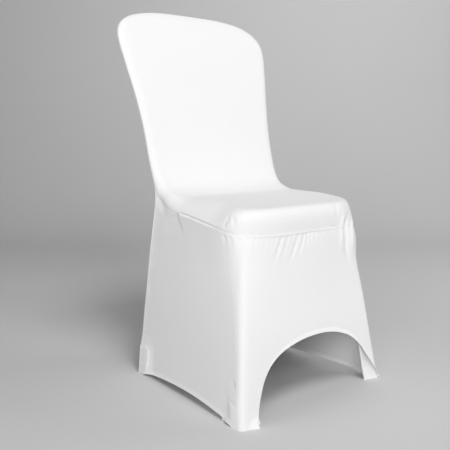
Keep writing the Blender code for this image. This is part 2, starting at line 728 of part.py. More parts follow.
def skirt_column(top, top_mark, low_mark, low_z):
    """Points down one column of the skirt, from the waist seam to the hem."""
    v = drop_shares()
    if top_mark in (0.0, 5.0):
        stations = JUNCTION_STATION + (REAR_END - JUNCTION_STATION) * v
        edge = back_panel_point(
            np.sign(top_mark - 1) * rear_half_width(stations), stations, np.zeros(len(stations))
        )
        return edge
    z = top[2] + (low_z - top[2]) * v
    mark = top_mark + (low_mark - top_mark) * v
    plan = skirt_ring(mark, z)
    slip = (top[:2] - plan[0]) * ((1 - v) ** SLIP_POWER)[:, None]
    return np.column_stack([plan + slip, z])


def waist_points(front_points, ring_count):
    """The waist seam's points, from the left junction round the front to the right junction. The
    front's stretches are split so that the skirt can carry folds between them."""
    right_start = ACROSS + CROWN_TO_JUNCTION
    left_end = right_start + 2 * JUNCTION_TO_NOSE + ACROSS
    ring = front_points[:ring_count]
    run = [ring[n % ring_count] for n in range(right_start, left_end + 1)][::-1]
    waist = []
    for n, point in enumerate(run[:-1]):
        waist.append(point)
        if JUNCTION_TO_NOSE <= n < JUNCTION_TO_NOSE + ACROSS:
            for k in range(1, FRONT_SPLITS):
                waist.append(point + (run[n + 1] - point) * k / FRONT_SPLITS)
    waist.append(run[-1])
    return np.array(waist)


def split_marks(count):
    """Which of the waist's points are the front panel's own, and which lie between them."""
    own = list(range(JUNCTION_TO_NOSE))
    own += list(range(JUNCTION_TO_NOSE, count - JUNCTION_TO_NOSE, FRONT_SPLITS))
    own += list(range(count - JUNCTION_TO_NOSE, count))
    return np.array(own)


def skin_normals(panels):
    """Directions through the sheet at each panel's points, taken from the whole cover's skin so
    that panels meet face to face. Each is longer than 1 where the skin turns."""
    skin = bmesh.new()
    for points, faces, _ in panels:
        verts = [skin.verts.new(p) for p in points]
        for face in faces:
            skin.faces.new([verts[i] for i in face])
    bmesh.ops.remove_doubles(skin, verts=skin.verts, dist=WELD)
    skin.normal_update()
    places = KDTree(len(skin.verts))
    table = []
    for n, vert in enumerate(skin.verts):
        places.insert(vert.co, n)
        table.append(np.array(vert.normal) * min(vert.calc_shell_factor(), SHELL_LIMIT))
    places.balance()
    skin.free()
    return [np.array([table[places.find(p)[1]] for p in points]) for points, _, _ in panels]


def seam_moves(mesh, verts, seam, normals):
    """How far each seam vertex is drawn back from the seam, square to it and along the sheet."""
    sides = {}
    for edge in mesh.edges:
        a, b = edge.verts
        if not edge.is_boundary or a.index not in seam or b.index not in seam:
            continue
        if edge.link_loops[0].vert is not a:
            a, b = b, a
        run = np.array(b.co - a.co)
        for vert in (a, b):
            square = np.cross(normals[vert.index], run)
            sides.setdefault(vert.index, []).append(square / np.linalg.norm(square))
    moves = {}
    for index, squares in sides.items():
        middle = sum(squares)
        middle = middle / np.linalg.norm(middle)
        reach = SEAM_DRAW_BACK / max(float(middle @ squares[0]), MITRE_LIMIT)
        moves[verts[index]] = middle * reach
    return moves


def sheet_object(name, panel, normals, finish):
    """A closed sheet: the outer face, the inner face and a wall round the border."""
    points, faces, seam = panel
    mesh = bmesh.new()
    outer = [mesh.verts.new(p) for p in points]
    for face in faces:
        mesh.faces.new([outer[i] for i in face])
    mesh.verts.index_update()
    for vert, move in seam_moves(mesh, outer, seam, normals).items():
        vert.co = np.array(vert.co) + move
    inner = [mesh.verts.new(np.array(v.co) - n * SHEET) for v, n in zip(outer, normals)]
    border = []
    for edge in mesh.edges:
        if edge.is_boundary:
            a, b = (v.index for v in edge.verts)
            border.append((a, b) if edge.link_loops[0].vert.index == a else (b, a))
    for face in faces:
        mesh.faces.new([inner[i] for i in reversed(face)])
    for a, b in border:
        mesh.faces.new([outer[b], outer[a], inner[a], inner[b]])
    for vert in mesh.verts:
        vert.co.z = max(vert.co.z, 0.0)
    bmesh.ops.triangulate(mesh, faces=mesh.faces[:], quad_method="SHORT_EDGE")
    return finished(name, mesh, finish)


def finished(name, mesh, finish):
    """Turns a bmesh into a named object with its material."""
    bmesh.ops.translate(mesh, verts=mesh.verts, vec=(0, -MIDDLE_Y, 0))
    data = bpy.data.meshes.new(name)
    mesh.to_mesh(data)
    mesh.free()
    data.shade_smooth()
    data.materials.append(material(finish))
    thing = bpy.data.objects.new(name, data)
    bpy.context.scene.collection.objects.link(thing)
    return thing


def material(finish):
    """The Principled material of a finish, made once."""
    name = "white_stretch_jersey" if finish is WHITE_CLOTH else "doubled_jersey"
    found = bpy.data.materials.get(name)
    if found:
        return found
    made = bpy.data.materials.new(name)
    made.use_nodes = True
    shader = made.node_tree.nodes["Principled BSDF"]
    shader.inputs["Base Color"].default_value = finish["color"]
    shader.inputs["Roughness"].default_value = finish["roughness"]
    shader.inputs["Metallic"].default_value = finish["metallic"]
    return made


def section(wall, z):
    """Plan of a wall, given as rows of points downwards, where it is cut at a height."""
    cut = []
    for n in range(wall.shape[1]):
        rising = wall[::-1, n]
        cut.append([np.interp(z, rising[:, 2], rising[:, axis]) for axis in (0, 1)])
    return np.array(cut)


def last_stretch(run, length):
    """The end of a run of points, of a given length."""
    reach = along(run)
    start = max(reach[-1] - length, 0.0)
    first = [np.interp(start, reach, run[:, axis]) for axis in (0, 1)]
    return np.concatenate([[first], run[reach > start + TINY]])


def corner_plan(walls, z, side_reach, face_end):
    """The skin's plan round one corner of the hem: along the side wall, then along the face. The
    face's end is a place for the front feet and a length for the rear ones."""
    if len(walls) == 1:
        side = last_stretch(section(walls[0][:, :-1], z), side_reach)
        reach = np.linspace(0, 1, 5)[1:, None]
        return np.concatenate([side, side[-1] + (np.array(face_end) - side[-1]) * reach])
    side = last_stretch(section(walls[0], z)[::-1], side_reach)
    face = last_stretch(section(walls[1], z)[::-1], face_end)[::-1]
    return np.concatenate([side, face])


def drawn_in(ring, by):
    """A closed anticlockwise ring of plan points with its sides moved inwards."""
    before = ring - np.roll(ring, 1, axis=0)
    after = np.roll(ring, -1, axis=0) - ring
    before /= np.linalg.norm(before, axis=1)[:, None]
    after /= np.linalg.norm(after, axis=1)[:, None]
    inward = np.stack([-(before + after)[:, 1], (before + after)[:, 0]], axis=1)
    inward /= np.linalg.norm(inward, axis=1)[:, None]
    facing = np.abs(inward[:, 0] * -before[:, 1] + inward[:, 1] * before[:, 0])
    return ring + inward * (by / np.maximum(facing, MITRE_OF_RING))[:, None]


def pocket_ring(row, walls, z):
    """The plan of a foot pocket's outside at a height, anticlockwise."""
    _, front, right, side_reach, floor_x, floor_y, top_x, top_y, height = row
    share = z / height
    tuck = share if right else ease(share / POCKET_TUCK)
    inner = (floor_x + (top_x - floor_x) * tuck, floor_y + (top_y - floor_y) * share)
    skin = corner_plan(walls, z, side_reach, inner if front else floor_x)
    skin = resample(skin, POCKET_AROUND, 0.0)
    hub = np.array([skin[-1, 0], skin[0, 1]])
    if front == right:
        skin = skin[::-1]
    first, last = (end_cap(skin[1], skin[0], -1), end_cap(skin[-2], skin[-1], 1))
    middle = (first + last) / 2
    control = middle + (hub - middle) * POCKET_BELLY
    t = np.linspace(0, 1, POCKET_INSIDE + 1)[:, None]
    inside = (1 - t) ** 2 * last + 2 * t * (1 - t) * control + t**2 * first
    ring = np.concatenate([skin, inside])
    return np.concatenate([drawn_in(ring, SHEET + POCKET_CLEARANCE)[: len(skin)], inside])


def end_cap(before, end, turn):
    """Where a pocket's inner wall starts, inwards from an end of its outer wall."""
    run = (end - before) / np.linalg.norm(end - before)
    return end + POCKET_CAP * (turn * np.array([-run[1], run[0]]) - POCKET_LEAN * run)


def foot_pocket(row, walls):
    """A cup of doubled cloth that takes one foot, inside the given walls: its own walls and sole."""
    height = row[POCKET_COLUMNS.index("height")]
    levels = np.linspace(0, height, POCKET_LEVELS + 1)
    mesh = bmesh.new()

    def ring(z, inset):
        plan = pocket_ring(row, walls, z)
        plan = drawn_in(plan, inset) if inset else plan
        return [mesh.verts.new((x, y, z)) for x, y in plan]

    outer = [ring(z, 0.0) for z in levels]
    inner = [ring(max(z, SHEET), SHEET) for z in levels]
    loops = outer + inner[::-1]
    count = len(outer[0])
    for a, b in zip(loops[:-1], loops[1:]):
        for i in range(count):
            j = (i + 1) % count
            mesh.faces.new([a[i], a[j], b[j], b[i]])
    mesh.faces.new(outer[0][::-1])
    mesh.faces.new(inner[0])
    bmesh.ops.recalc_face_normals(mesh, faces=mesh.faces[:])
    bmesh.ops.triangulate(mesh, faces=[f for f in mesh.faces if len(f.verts) == 4])
    return finished(row[0], mesh, POCKET_CLOTH)


def build():
    """Makes every panel and pocket."""
    for thing in list(bpy.data.objects):
        bpy.data.objects.remove(thing)
    front = front_panel_grid()
    waist = waist_points(front[0], len(front[2]))
    *skirt, skirt_corners = skirt_grid(waist)
    *back, back_corners = back_panel_grid()
    names = ("front_panel", "back_panel", "skirt")
    panels = [(bulged(points), faces, seam) for points, faces, seam in (front, back, skirt)]
    normals = skin_normals(panels)
    own = split_marks(len(waist))
    for axis in range(3):
        along_waist = np.arange(len(waist))
        normals[2][: len(waist), axis] = np.interp(along_waist, own, normals[2][own, axis])
    for name, panel, directions in zip(names, panels, normals):
        sheet_object(name, panel, directions, WHITE_CLOTH)
    for row in POCKET_ROWS:
        _, at_front, right, *_ = row
        walls = [skirt_corners[right]] if at_front else [skirt_corners[right], back_corners[right]]
        foot_pocket(row, walls)


build()
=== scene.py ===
"""Looks of a white stretch cover: jersey panels drawn taut over a seat, its back and its legs.

Metres, +Z up. The sitter faces -Y, and the origin is on the floor under the middle of the cover. The
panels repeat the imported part's taut form with finer faces, and add its creases, seams, hems and knit.
"""

from __future__ import annotations

import logging
import math
from dataclasses import dataclass
from enum import Enum
from functools import cached_property
from typing import NamedTuple, Sequence

import bpy
import numpy as np
from mathutils.kdtree import KDTree
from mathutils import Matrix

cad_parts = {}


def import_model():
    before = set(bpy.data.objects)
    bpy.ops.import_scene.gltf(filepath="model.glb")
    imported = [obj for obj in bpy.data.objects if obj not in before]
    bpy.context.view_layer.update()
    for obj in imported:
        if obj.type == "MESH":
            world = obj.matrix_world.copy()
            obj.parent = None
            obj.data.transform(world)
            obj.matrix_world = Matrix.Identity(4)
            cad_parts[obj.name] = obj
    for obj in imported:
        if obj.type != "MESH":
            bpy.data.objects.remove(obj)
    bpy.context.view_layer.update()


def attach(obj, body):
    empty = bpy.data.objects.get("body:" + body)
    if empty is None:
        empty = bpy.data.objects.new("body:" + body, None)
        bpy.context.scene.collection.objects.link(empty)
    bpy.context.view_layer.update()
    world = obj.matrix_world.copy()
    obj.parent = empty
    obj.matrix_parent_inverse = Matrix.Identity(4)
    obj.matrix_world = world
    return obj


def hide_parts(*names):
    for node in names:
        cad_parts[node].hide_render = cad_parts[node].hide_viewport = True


Array = np.ndarray
log = logging.getLogger("stretch_cover")

MM = 0.001
TINY = 0.000001
# The form's tables measure y from under the seat; the cover's own middle lies this far behind.
MIDDLE_Y = 0.0602
# Extra length that a turn of one radian counts for when faces are shared out along a curve
TURN_LENGTH = 0.06


# Curves


def column(rows: Sequence[NamedTuple], name: str) -> Array:
    """One named column of a table as an array."""
    return np.array([getattr(row, name) for row in rows])


def smooth(knots: Array, values: Array, at: Array) -> Array:
    """A smooth curve through values at rising knots.

    Args:
        knots: Rising places along the curve.
        values: The value, or the point, at each knot.
        at: Where to read the curve.

    Returns:
        The curve's values at those places.
    """
    knots, values = np.asarray(knots, float), np.asarray(values, float)
    at = np.clip(np.asarray(at, float), knots[0], knots[-1])
    slopes = np.gradient(values, knots, axis=0)
    k = np.clip(np.searchsorted(knots, at, side="right") - 1, 0, len(knots) - 2)
    span = knots[k + 1] - knots[k]
    t = (at - knots[k]) / span
    if values.ndim > 1:
        span, t = span[..., None], t[..., None]
    start = (2 * t**3 - 3 * t**2 + 1) * values[k] + (t**3 - 2 * t**2 + t) * span * slopes[k]
    end = (3 * t**2 - 2 * t**3) * values[k + 1] + (t**3 - t**2) * span * slopes[k + 1]
    return start + end


def ease(t: Array) -> Array:
    """0 below 0, 1 above 1 and a smooth step between."""
    t = np.clip(t, 0.0, 1.0)
    return t * t * (3 - 2 * t)


def along(points: Array) -> Array:
    """Distance along a run of points, from 0 at the first."""
    steps = np.linalg.norm(np.diff(points, axis=0), axis=1)
    return np.concatenate([[0.0], np.cumsum(steps)])


def paced(points: Array, turn_length: float = TURN_LENGTH) -> Array:
    """Distance along a run of points, with its turns counted as extra length."""
    steps = np.diff(points, axis=0)
    lengths = np.linalg.norm(steps, axis=1)
    ways = steps / np.maximum(lengths, TINY)[:, None]
    turns = np.arccos(np.clip(np.sum(ways[1:] * ways[:-1], axis=1), -1, 1))
    extra = np.concatenate([[0.0], turns / 2]) + np.concatenate([turns / 2, [0.0]])
    return np.concatenate([[0.0], np.cumsum(lengths + turn_length * extra)])


def resample(points: Array, shares: Array, turn_length: float = TURN_LENGTH) -> Array:
    """The run of points read at shares of its length, which pass more slowly where it turns."""
    reach = paced(points, turn_length)
    at = shares * reach[-1]
    return np.stack([np.interp(at, reach, points[:, i]) for i in range(points.shape[1])], axis=1)


def mirrored(points: Array) -> Array:
    """The points with x turned round."""
    return points * np.array([-1.0] + [1.0] * (points.shape[1] - 1))


def coons(top: Array, right: Array, bottom: Array, left: Array) -> Array:
    """Fills four boundary runs with a grid.

    Args:
        top: Upper run, left to right.
        right: Right run, downwards.
        bottom: Lower run, left to right.
        left: Left run, downwards.

    Returns:
        The grid, as rows of points.
    """
    rows, columns = len(left), len(top)
    u = np.linspace(0, 1, columns)[None, :, None]
    v = np.linspace(0, 1, rows)[:, None, None]
    ruled_sides = (1 - u) * left[:, None, :] + u * right[:, None, :]
    ruled_ends = (1 - v) * top[None] + v * bottom[None]
    corners = (
        (1 - u) * (1 - v) * top[0] + u * (1 - v) * top[-1]
        + (1 - u) * v * bottom[0] + u * v * bottom[-1]
    )
    return ruled_sides + ruled_ends - corners


def grid_quads(index: Array) -> Array:
    """The quads of a grid of vertex numbers, wound down, across, up and back."""
    a, b = index[:-1, :-1], index[1:, :-1]
    c, d = index[1:, 1:], index[:-1, 1:]
    return np.stack([a, b, c, d], axis=-1).reshape(-1, 4)


# The taut form


class FaceRow(NamedTuple):
    """A place on the centre line of the seat and inner back, from the crown to the seat's front.

    depth is how far the seam lies behind or below the face, and half_width is out to the seam.
    """

    y: float
    z: float
    depth: float
    half_width: float


class RearRow(NamedTuple):
    """A place on the seam between outer back and skirt, down the rear legs.

    wrap is how far the rear face lies behind the seam, and swell is how far its middle bows out.
    """

    z: float
    y: float
    half_width: float
    wrap: float
    swell: float


class LegRow(NamedTuple):
    """The front legs' outer edges at a height: where side and front would meet.

    radius is how far the edge's turn reaches along each of them. left_square and right_square are how
    square that turn is: 2 is round, and more is sharper.
    """

    z: float
    left: float
    right: float
    y: float
    radius: float
    left_square: float
    right_square: float
    bow: float


class ArchPoint(NamedTuple):
    """A place on the arched front hem, as seen from the front."""

    x: float
    z: float


class Bulge(NamedTuple):
    """A place where the cloth stands out from the middle of the cover."""

    x: float
    y: float
    z: float
    reach: float
    height: float
    out: float


class SideDraw(NamedTuple):
    """How far a taut side wall is drawn in between its legs, at the waist and at the hem."""

    waist: float
    hem: float


class CornerPoint(NamedTuple):
    """A floor corner of the cloth that is pulled out into a point, round a perimeter mark."""

    mark: float
    reach: float
    out: tuple[float, float]
    height: float


@dataclass(frozen=True)
class Fineness:
    """How many faces the panels are cut into along each stretch."""

    across: int = 144
    crown_to_junction: int = 84
    junction_to_nose: int = 124
    drop: int = 104
    edge: int = 26
    crowding_at_ends: float = 0.7
    crowding_at_seam: float = 1.15
    crowding_over_edge: float = 2.4
    oval_points: int = 90
    straight_points: int = 300
    arch_points: int = 400
    arch_foot_points: int = 40

    @cached_property
    def shares_across(self) -> Array:
        """Even shares of a crown or a seat front."""
        return np.linspace(0, 1, self.across + 1)

    @cached_property
    def shares_up(self) -> Array:
        """Even shares of an edge from the crown to the junction."""
        return np.linspace(0, 1, self.crown_to_junction + 1)

    @cached_property
    def shares_side(self) -> Array:
        """Shares of a side from the junction to the seat front, closer at the junction."""
        return np.linspace(0, 1, self.junction_to_nose + 1) ** self.crowding_at_seam

    @cached_property
    def shares_down(self) -> Array:
        """Shares of the skirt's drop, closer together at the waist and at the hem."""
        t = np.linspace(0, 1, self.drop + 1)
        return t - self.crowding_at_ends * np.sin(2 * math.pi * t) / (2 * math.pi)

    @cached_property
    def edge_turns(self) -> Array:
        """How far each ring has turned over the panel's rounded edge, closer at the seam."""
        return math.pi / 2 * np.linspace(0, 1, self.edge + 1) ** self.crowding_over_edge


@dataclass(frozen=True)
class TautForm:
    """The form that the cover is drawn into, as smooth surfaces without creases."""

    fine: Fineness = Fineness()
    face: tuple[FaceRow, ...] = (
        FaceRow(0.2990, 0.942, 0.010, 0.2450),
        FaceRow(0.2660, 0.870, 0.010, 0.2435),
        FaceRow(0.2415, 0.790, 0.010, 0.2325),
        FaceRow(0.2195, 0.710, 0.010, 0.2190),
        FaceRow(0.2000, 0.630, 0.010, 0.2100),
        FaceRow(0.1830, 0.565, 0.011, 0.2080),
        FaceRow(0.1650, 0.520, 0.015, 0.2065),
        FaceRow(0.1420, 0.492, 0.027, 0.2065),
        FaceRow(0.1060, 0.476, 0.033, 0.2070),
        FaceRow(0.0500, 0.471, 0.036, 0.2070),
        FaceRow(-0.0200, 0.469, 0.045, 0.2055),
        FaceRow(-0.0900, 0.463, 0.050, 0.2035),
        FaceRow(-0.1600, 0.456, 0.056, 0.2005),
    )
    rear: tuple[RearRow, ...] = (
        RearRow(0.468, 0.1665, 0.2080, 0.012, 0.017),
        RearRow(0.436, 0.1670, 0.2095, 0.013, 0.012),
        RearRow(0.398, 0.1745, 0.2100, 0.014, 0.006),
        RearRow(0.320, 0.1900, 0.2105, 0.016, 0.000),
        RearRow(0.226, 0.2060, 0.2110, 0.018, -0.003),
        RearRow(0.143, 0.2210, 0.2115, 0.018, -0.005),
        RearRow(0.095, 0.2285, 0.2120, 0.018, -0.006),
        RearRow(0.000, 0.2380, 0.2125, 0.018, -0.006),
    )
    legs: tuple[LegRow, ...] = (
        LegRow(0.000, 0.2385, 0.2335, -0.1950, 0.020, 3.0, 2.0, -0.004),
        LegRow(0.071, 0.2305, 0.2245, -0.1850, 0.022, 3.2, 2.0, -0.004),
        LegRow(0.171, 0.2186, 0.2135, -0.1716, 0.025, 3.5, 2.0, 0.000),
        LegRow(0.254, 0.2078, 0.2078, -0.1588, 0.030, 4.0, 2.0, 0.003),
        LegRow(0.334, 0.2006, 0.2030, -0.1502, 0.045, 5.5, 2.0, 0.008),
        LegRow(0.400, 0.1995, 0.2025, -0.1485, 0.050, 6.0, 2.0, 0.011),
    )
    arch: tuple[ArchPoint, ...] = (
        ArchPoint(-0.194, 0.000),
        ArchPoint(-0.188, 0.025),
        ArchPoint(-0.179, 0.052),
        ArchPoint(-0.163, 0.089),
        ArchPoint(-0.140, 0.117),
        ArchPoint(-0.107, 0.138),
        ArchPoint(-0.064, 0.151),
        ArchPoint(0.010, 0.159),
        ArchPoint(0.062, 0.155),
        ArchPoint(0.100, 0.145),
        ArchPoint(0.134, 0.129),
        ArchPoint(0.161, 0.106),
        ArchPoint(0.187, 0.072),
        ArchPoint(0.208, 0.044),
        ArchPoint(0.2235, 0.020),
        ArchPoint(0.231, 0.000),
    )
    bulges: tuple[Bulge, ...] = (
        Bulge(0.185, -0.135, 0.365, 0.055, 0.042, 0.0080),
        Bulge(-0.190, -0.135, 0.395, 0.040, 0.022, 0.0015),
    )
    corner_points: tuple[CornerPoint, ...] = (
        CornerPoint(3.60, 0.60, (0.0110, -0.0033), 0.030),
        CornerPoint(2.045, 0.045, (0.0010, -0.0110), 0.022),
    )
    corner_point_power: float = 1.5
    left_draw: SideDraw = SideDraw(-0.002, 0.002)
    right_draw: SideDraw = SideDraw(0.004, 0.024)
    side_draw_power: float = 1.5
    waist_height: float = 0.40
    junction_face_height: float = 0.504
    crown_reach: float = 0.128
    crown_squareness: float = 3.3
    nose_reach: float = 0.135
    nose_squareness: float = 4.3
    edge_rounding: float = 0.022
    seat_crown: float = 0.004
    inner_back_dish: float = 0.003
    seat_turn_start: float = 0.50
    seat_turn_length: float = 0.12
    seat_edge_power: float = 0.45
    right_corner_power: float = 1.25
    left_shoulder: float = 0.034
    left_shoulder_power: float = 1.7
    left_shoulder_x: tuple[float, float] = (0.12, 0.06)
    left_shoulder_station: tuple[float, float, float, float] = (0.50, 0.06, 0.665, 0.10)
    right_corner_x: tuple[float, float] = (0.11, 0.06)
    right_corner_station: tuple[float, float] = (0.64, 0.08)
    slip_power: int = 4
    back_swell: float = 0.020
    back_swell_start: float = 0.12
    back_wrap: float = 0.012
    back_corner: float = 0.020
    side_hem_rise: float = 0.0180
    side_hem_power: float = 0.6
    foot_span: float = 0.03
    rear_hem_rise: float = 0.016
    rear_hem_reach: float = 0.165
    rear_hem_pull_height: float = 0.30
    arch_foot_mark: float = 1.5
    foot_swell: float = 0.007
    foot_swell_fade_up: tuple[float, float] = (0.045, 0.110)
    foot_swell_fade_along: tuple[float, float] = (0.018, 0.062)

    # The centre line of the face, and the seam beside it

    @cached_property
    def face_yz(self) -> Array:
        """The face's centre line as (y, z) points."""
        return np.stack([column(self.face, "y"), column(self.face, "z")], axis=1)

    @cached_property
    def stations(self) -> Array:
        """Distance of each face row from the crown."""
        return along(self.face_yz)

    @cached_property
    def junction(self) -> float:
        """Station beside which the seat panel, the outer back and the skirt all meet."""
        return float(np.interp(-self.junction_face_height, -self.face_yz[:, 1], self.stations))

    @cached_property
    def lower_line(self) -> tuple[Array, Array]:
        """Stations and (y, z) of the rear leg's seam, from the junction to the floor."""
        start, normal = self.face_point(np.array(self.junction))
        start = start - normal * self.face_value("depth", self.junction)
        rows = np.stack([column(self.rear, "y"), column(self.rear, "z")], axis=1)
        line = np.concatenate([start[None], rows])
        return self.junction + along(line), line

    @cached_property
    def rear_stations(self) -> Array:
        """Stations of the skirt's rows down the rear seam."""
        end = self.lower_line[0][-1]
        return self.junction + (end - self.junction) * self.fine.shares_down

    def face_point(self, station: Array) -> tuple[Array, Array]:
        """Centre line (y, z) and its outward normal at a distance from the crown."""
        step = 2 * MM
        here = smooth(self.stations, self.face_yz, station)
        ahead = smooth(self.stations, self.face_yz, np.minimum(station + step, self.stations[-1]))
        behind = smooth(self.stations, self.face_yz, np.maximum(station - step, 0.0))
        run = ahead - behind
        run = run / np.linalg.norm(run, axis=-1, keepdims=True)
        return here, np.stack([run[..., 1], -run[..., 0]], axis=-1)

    def face_value(self, name: str, station: Array) -> Array:
        """A column of the face's table at a distance from the crown."""
        return smooth(self.stations, column(self.face, name), station)

    def outline(self, inset: float) -> tuple[Array, Array, Array, Array]:
        """The outline of the seat and inner back in (x, station), drawn in by inset.

        Args:
            inset: How far inside the seam the outline runs.

        Returns:
            Its sides, crown, right, nose and left, each from one corner's middle to the next.
        """
        crown_base, nose_base = self.crown_reach, self.stations[-1] - self.nose_reach
        corner = math.pi / 4

        def width(station: Array) -> Array:
            """Half the width at a station."""
            return self.face_value("half_width", station) - inset

        def oval(reach: float, squareness: float, turn: tuple[float, float]) -> Array:
            """Part of a flattened oval, as (share of the half width, distance from its base)."""
            angle, power = np.linspace(*turn, self.fine.oval_points), 2 / squareness
            rise = (reach - inset) * np.sin(angle) ** power
            return np.stack([np.abs(np.cos(angle)) ** power, rise], axis=1)

        def placed(part: Array, base: float, sign: int) -> Array:
            """An oval's part as (x, station)."""
            station = base + sign * part[:, 1]
            return np.stack([part[:, 0] * width(station), station], axis=1)

        crown = (self.crown_reach, self.crown_squareness)
        nose = (self.nose_reach, self.nose_squareness)
        crown_cap = placed(oval(*crown, (corner, math.pi / 2)), crown_base, -1)
        crown_flank = placed(oval(*crown, (0.0, corner)), crown_base, -1)
        nose_cap = placed(oval(*nose, (corner, math.pi / 2)), nose_base, 1)
        nose_flank = placed(oval(*nose, (0.0, corner)), nose_base, 1)
        straight = np.linspace(crown_base, nose_base, self.fine.straight_points)
        edge = np.stack([width(straight), straight], axis=1)[1:-1]
        right = np.concatenate([crown_flank[::-1], edge, nose_flank])
        return (
            np.concatenate([mirrored(crown_cap), crown_cap[::-1][1:]]),
            right,
            np.concatenate([nose_cap, mirrored(nose_cap)[::-1][1:]]),
            mirrored(right)[::-1],
        )

    def edge_runs(self, side: Array) -> tuple[Array, Array]:
        """A right or left side, downwards, cut at the junction into its two resampled runs."""
        down = side[:, 1]
        cut = np.array([[np.interp(self.junction, down, side[:, 0]), self.junction]])
        upper = np.concatenate([side[down <= self.junction], cut])
        lower = np.concatenate([cut, side[down > self.junction]])
        return resample(upper, self.fine.shares_up), resample(lower, self.fine.shares_side)

    def edge_power(self, x: Array, station: Array) -> Array:
        """How the panel's edge rises from its seam: 1 is round, and less is tighter at the top.

        Round the right front corner the cloth slants instead, which takes more than 1.
        """
        on_seat = ease((station - self.seat_turn_start) / self.seat_turn_length)
        start, fade = self.right_corner_x
        corner = ease((x - start) / fade)
        start, fade = self.right_corner_station
        corner = corner * ease((station - start) / fade)
        power = self.seat_edge_power + (self.right_corner_power - self.seat_edge_power) * corner
        power = power + (self.left_shoulder_power - power) * self.on_left_shoulder(x, station)
        return 1 + (power - 1) * on_seat

    def on_left_shoulder(self, x: Array, station: Array) -> Array:
        """1 along the left side of the seat, and 0 away from it."""
        start, fade = self.left_shoulder_x
        near = ease((-x - start) / fade)
        start, rise, end, fall = self.left_shoulder_station
        return near * ease((station - start) / rise) * (1 - ease((station - end) / fall))

    def seat_point(self, x: Array, station: Array, height: Array) -> Array:
        """A point of the seat and inner back, whose height is 0 at the seam and 1 on the face."""
        centre, normal = self.face_point(station)
        height = height ** self.edge_power(x, station)
        depth = self.face_value("depth", station)
        across = np.clip(np.abs(x) / self.face_value("half_width", station), 0, 1)
        on_seat = ease((station - self.seat_turn_start) / self.seat_turn_length)
        middle = self.seat_crown * on_seat - self.inner_back_dish * (1 - on_seat)
        lift = (1 - across**2) * middle * height - (1 - height) * depth
        yz = centre + normal * lift[..., None]
        return np.stack([x, yz[..., 0], yz[..., 1]], axis=-1)

    # The outer back

    def rear_value(self, name: str, at_junction: float, station: Array) -> Array:
        """A column of the rear table below the junction, from its value above the junction."""
        values = np.concatenate([[at_junction], column(self.rear, name)])
        return smooth(self.lower_line[0], values, station)

    def rear_half_width(self, station: Array) -> Array:
        """Half the width of the outer back."""
        upper = self.face_value("half_width", np.minimum(station, self.junction))
        at_junction = float(self.face_value("half_width", self.junction))
        lower = self.rear_value("half_width", at_junction, station)
        return np.where(station <= self.junction, upper, lower)

    def rear_seam(self, station: Array) -> Array:
        """The outer back's seam (y, z) from the crown down to the floor."""
        above = np.minimum(station, self.junction)
        centre, normal = self.face_point(above)
        upper = centre - normal * self.face_value("depth", above)[..., None]
        lower = smooth(*self.lower_line, station)
        return np.where((station <= self.junction)[..., None], upper, lower)

    def swell_over_foot(self, z: Array, distance: Array) -> Array:
        """How far the cloth stands out over a rear foot."""
        low, high = self.foot_swell_fade_up
        near, far = self.foot_swell_fade_along
        up, sideways = ease((z - low) / (high - low)), ease((distance - near) / (far - near))
        return self.foot_swell * (1 - up) * (1 - sideways)

    def outer_back_point(self, x: Array, station: Array, height: Array) -> Array:
        """A point of the outer back, whose height is 0 at the seam and 1 on the rear face."""
        seam, upper = self.rear_seam(station), station <= self.junction
        wrap = np.where(upper, self.back_wrap, self.rear_value("wrap", self.back_wrap, station))
        fade = ease(station / self.back_swell_start) * self.back_swell
        swell = np.where(upper, fade, self.rear_value("swell", self.back_swell, station))
        half = self.rear_half_width(station)
        across = np.clip(np.abs(x) / half, 0, 1)
        z = seam[..., 1]
        swollen = self.swell_over_foot(z, np.maximum(half - np.abs(x), 0))
        y = seam[..., 0] + (wrap + swell * (1 - across**2) + swollen) * height
        x = x + np.sign(x) * swollen * (1 - height)
        return np.stack([x, y, z], axis=-1)

    def with_raised_hem(self, points: Array) -> Array:
        """The outer back's points with their lowest part lifted to the rear hem."""
        clear = np.clip(1 - np.abs(points[:, 0]) / self.rear_hem_reach, 0, 1)
        near = np.clip(1 - points[:, 2] / self.rear_hem_pull_height, 0, 1)
        lift = self.rear_hem_rise * np.sin(clear * math.pi / 2) * near
        return points + lift[:, None] * np.array([0.0, 0.0, 1.0])

    # The skirt

    def leg(self, name: str, z: Array) -> Array:
        """A column of the front legs' table at a height."""
        return smooth(column(self.legs, "z"), column(self.legs, name), z)

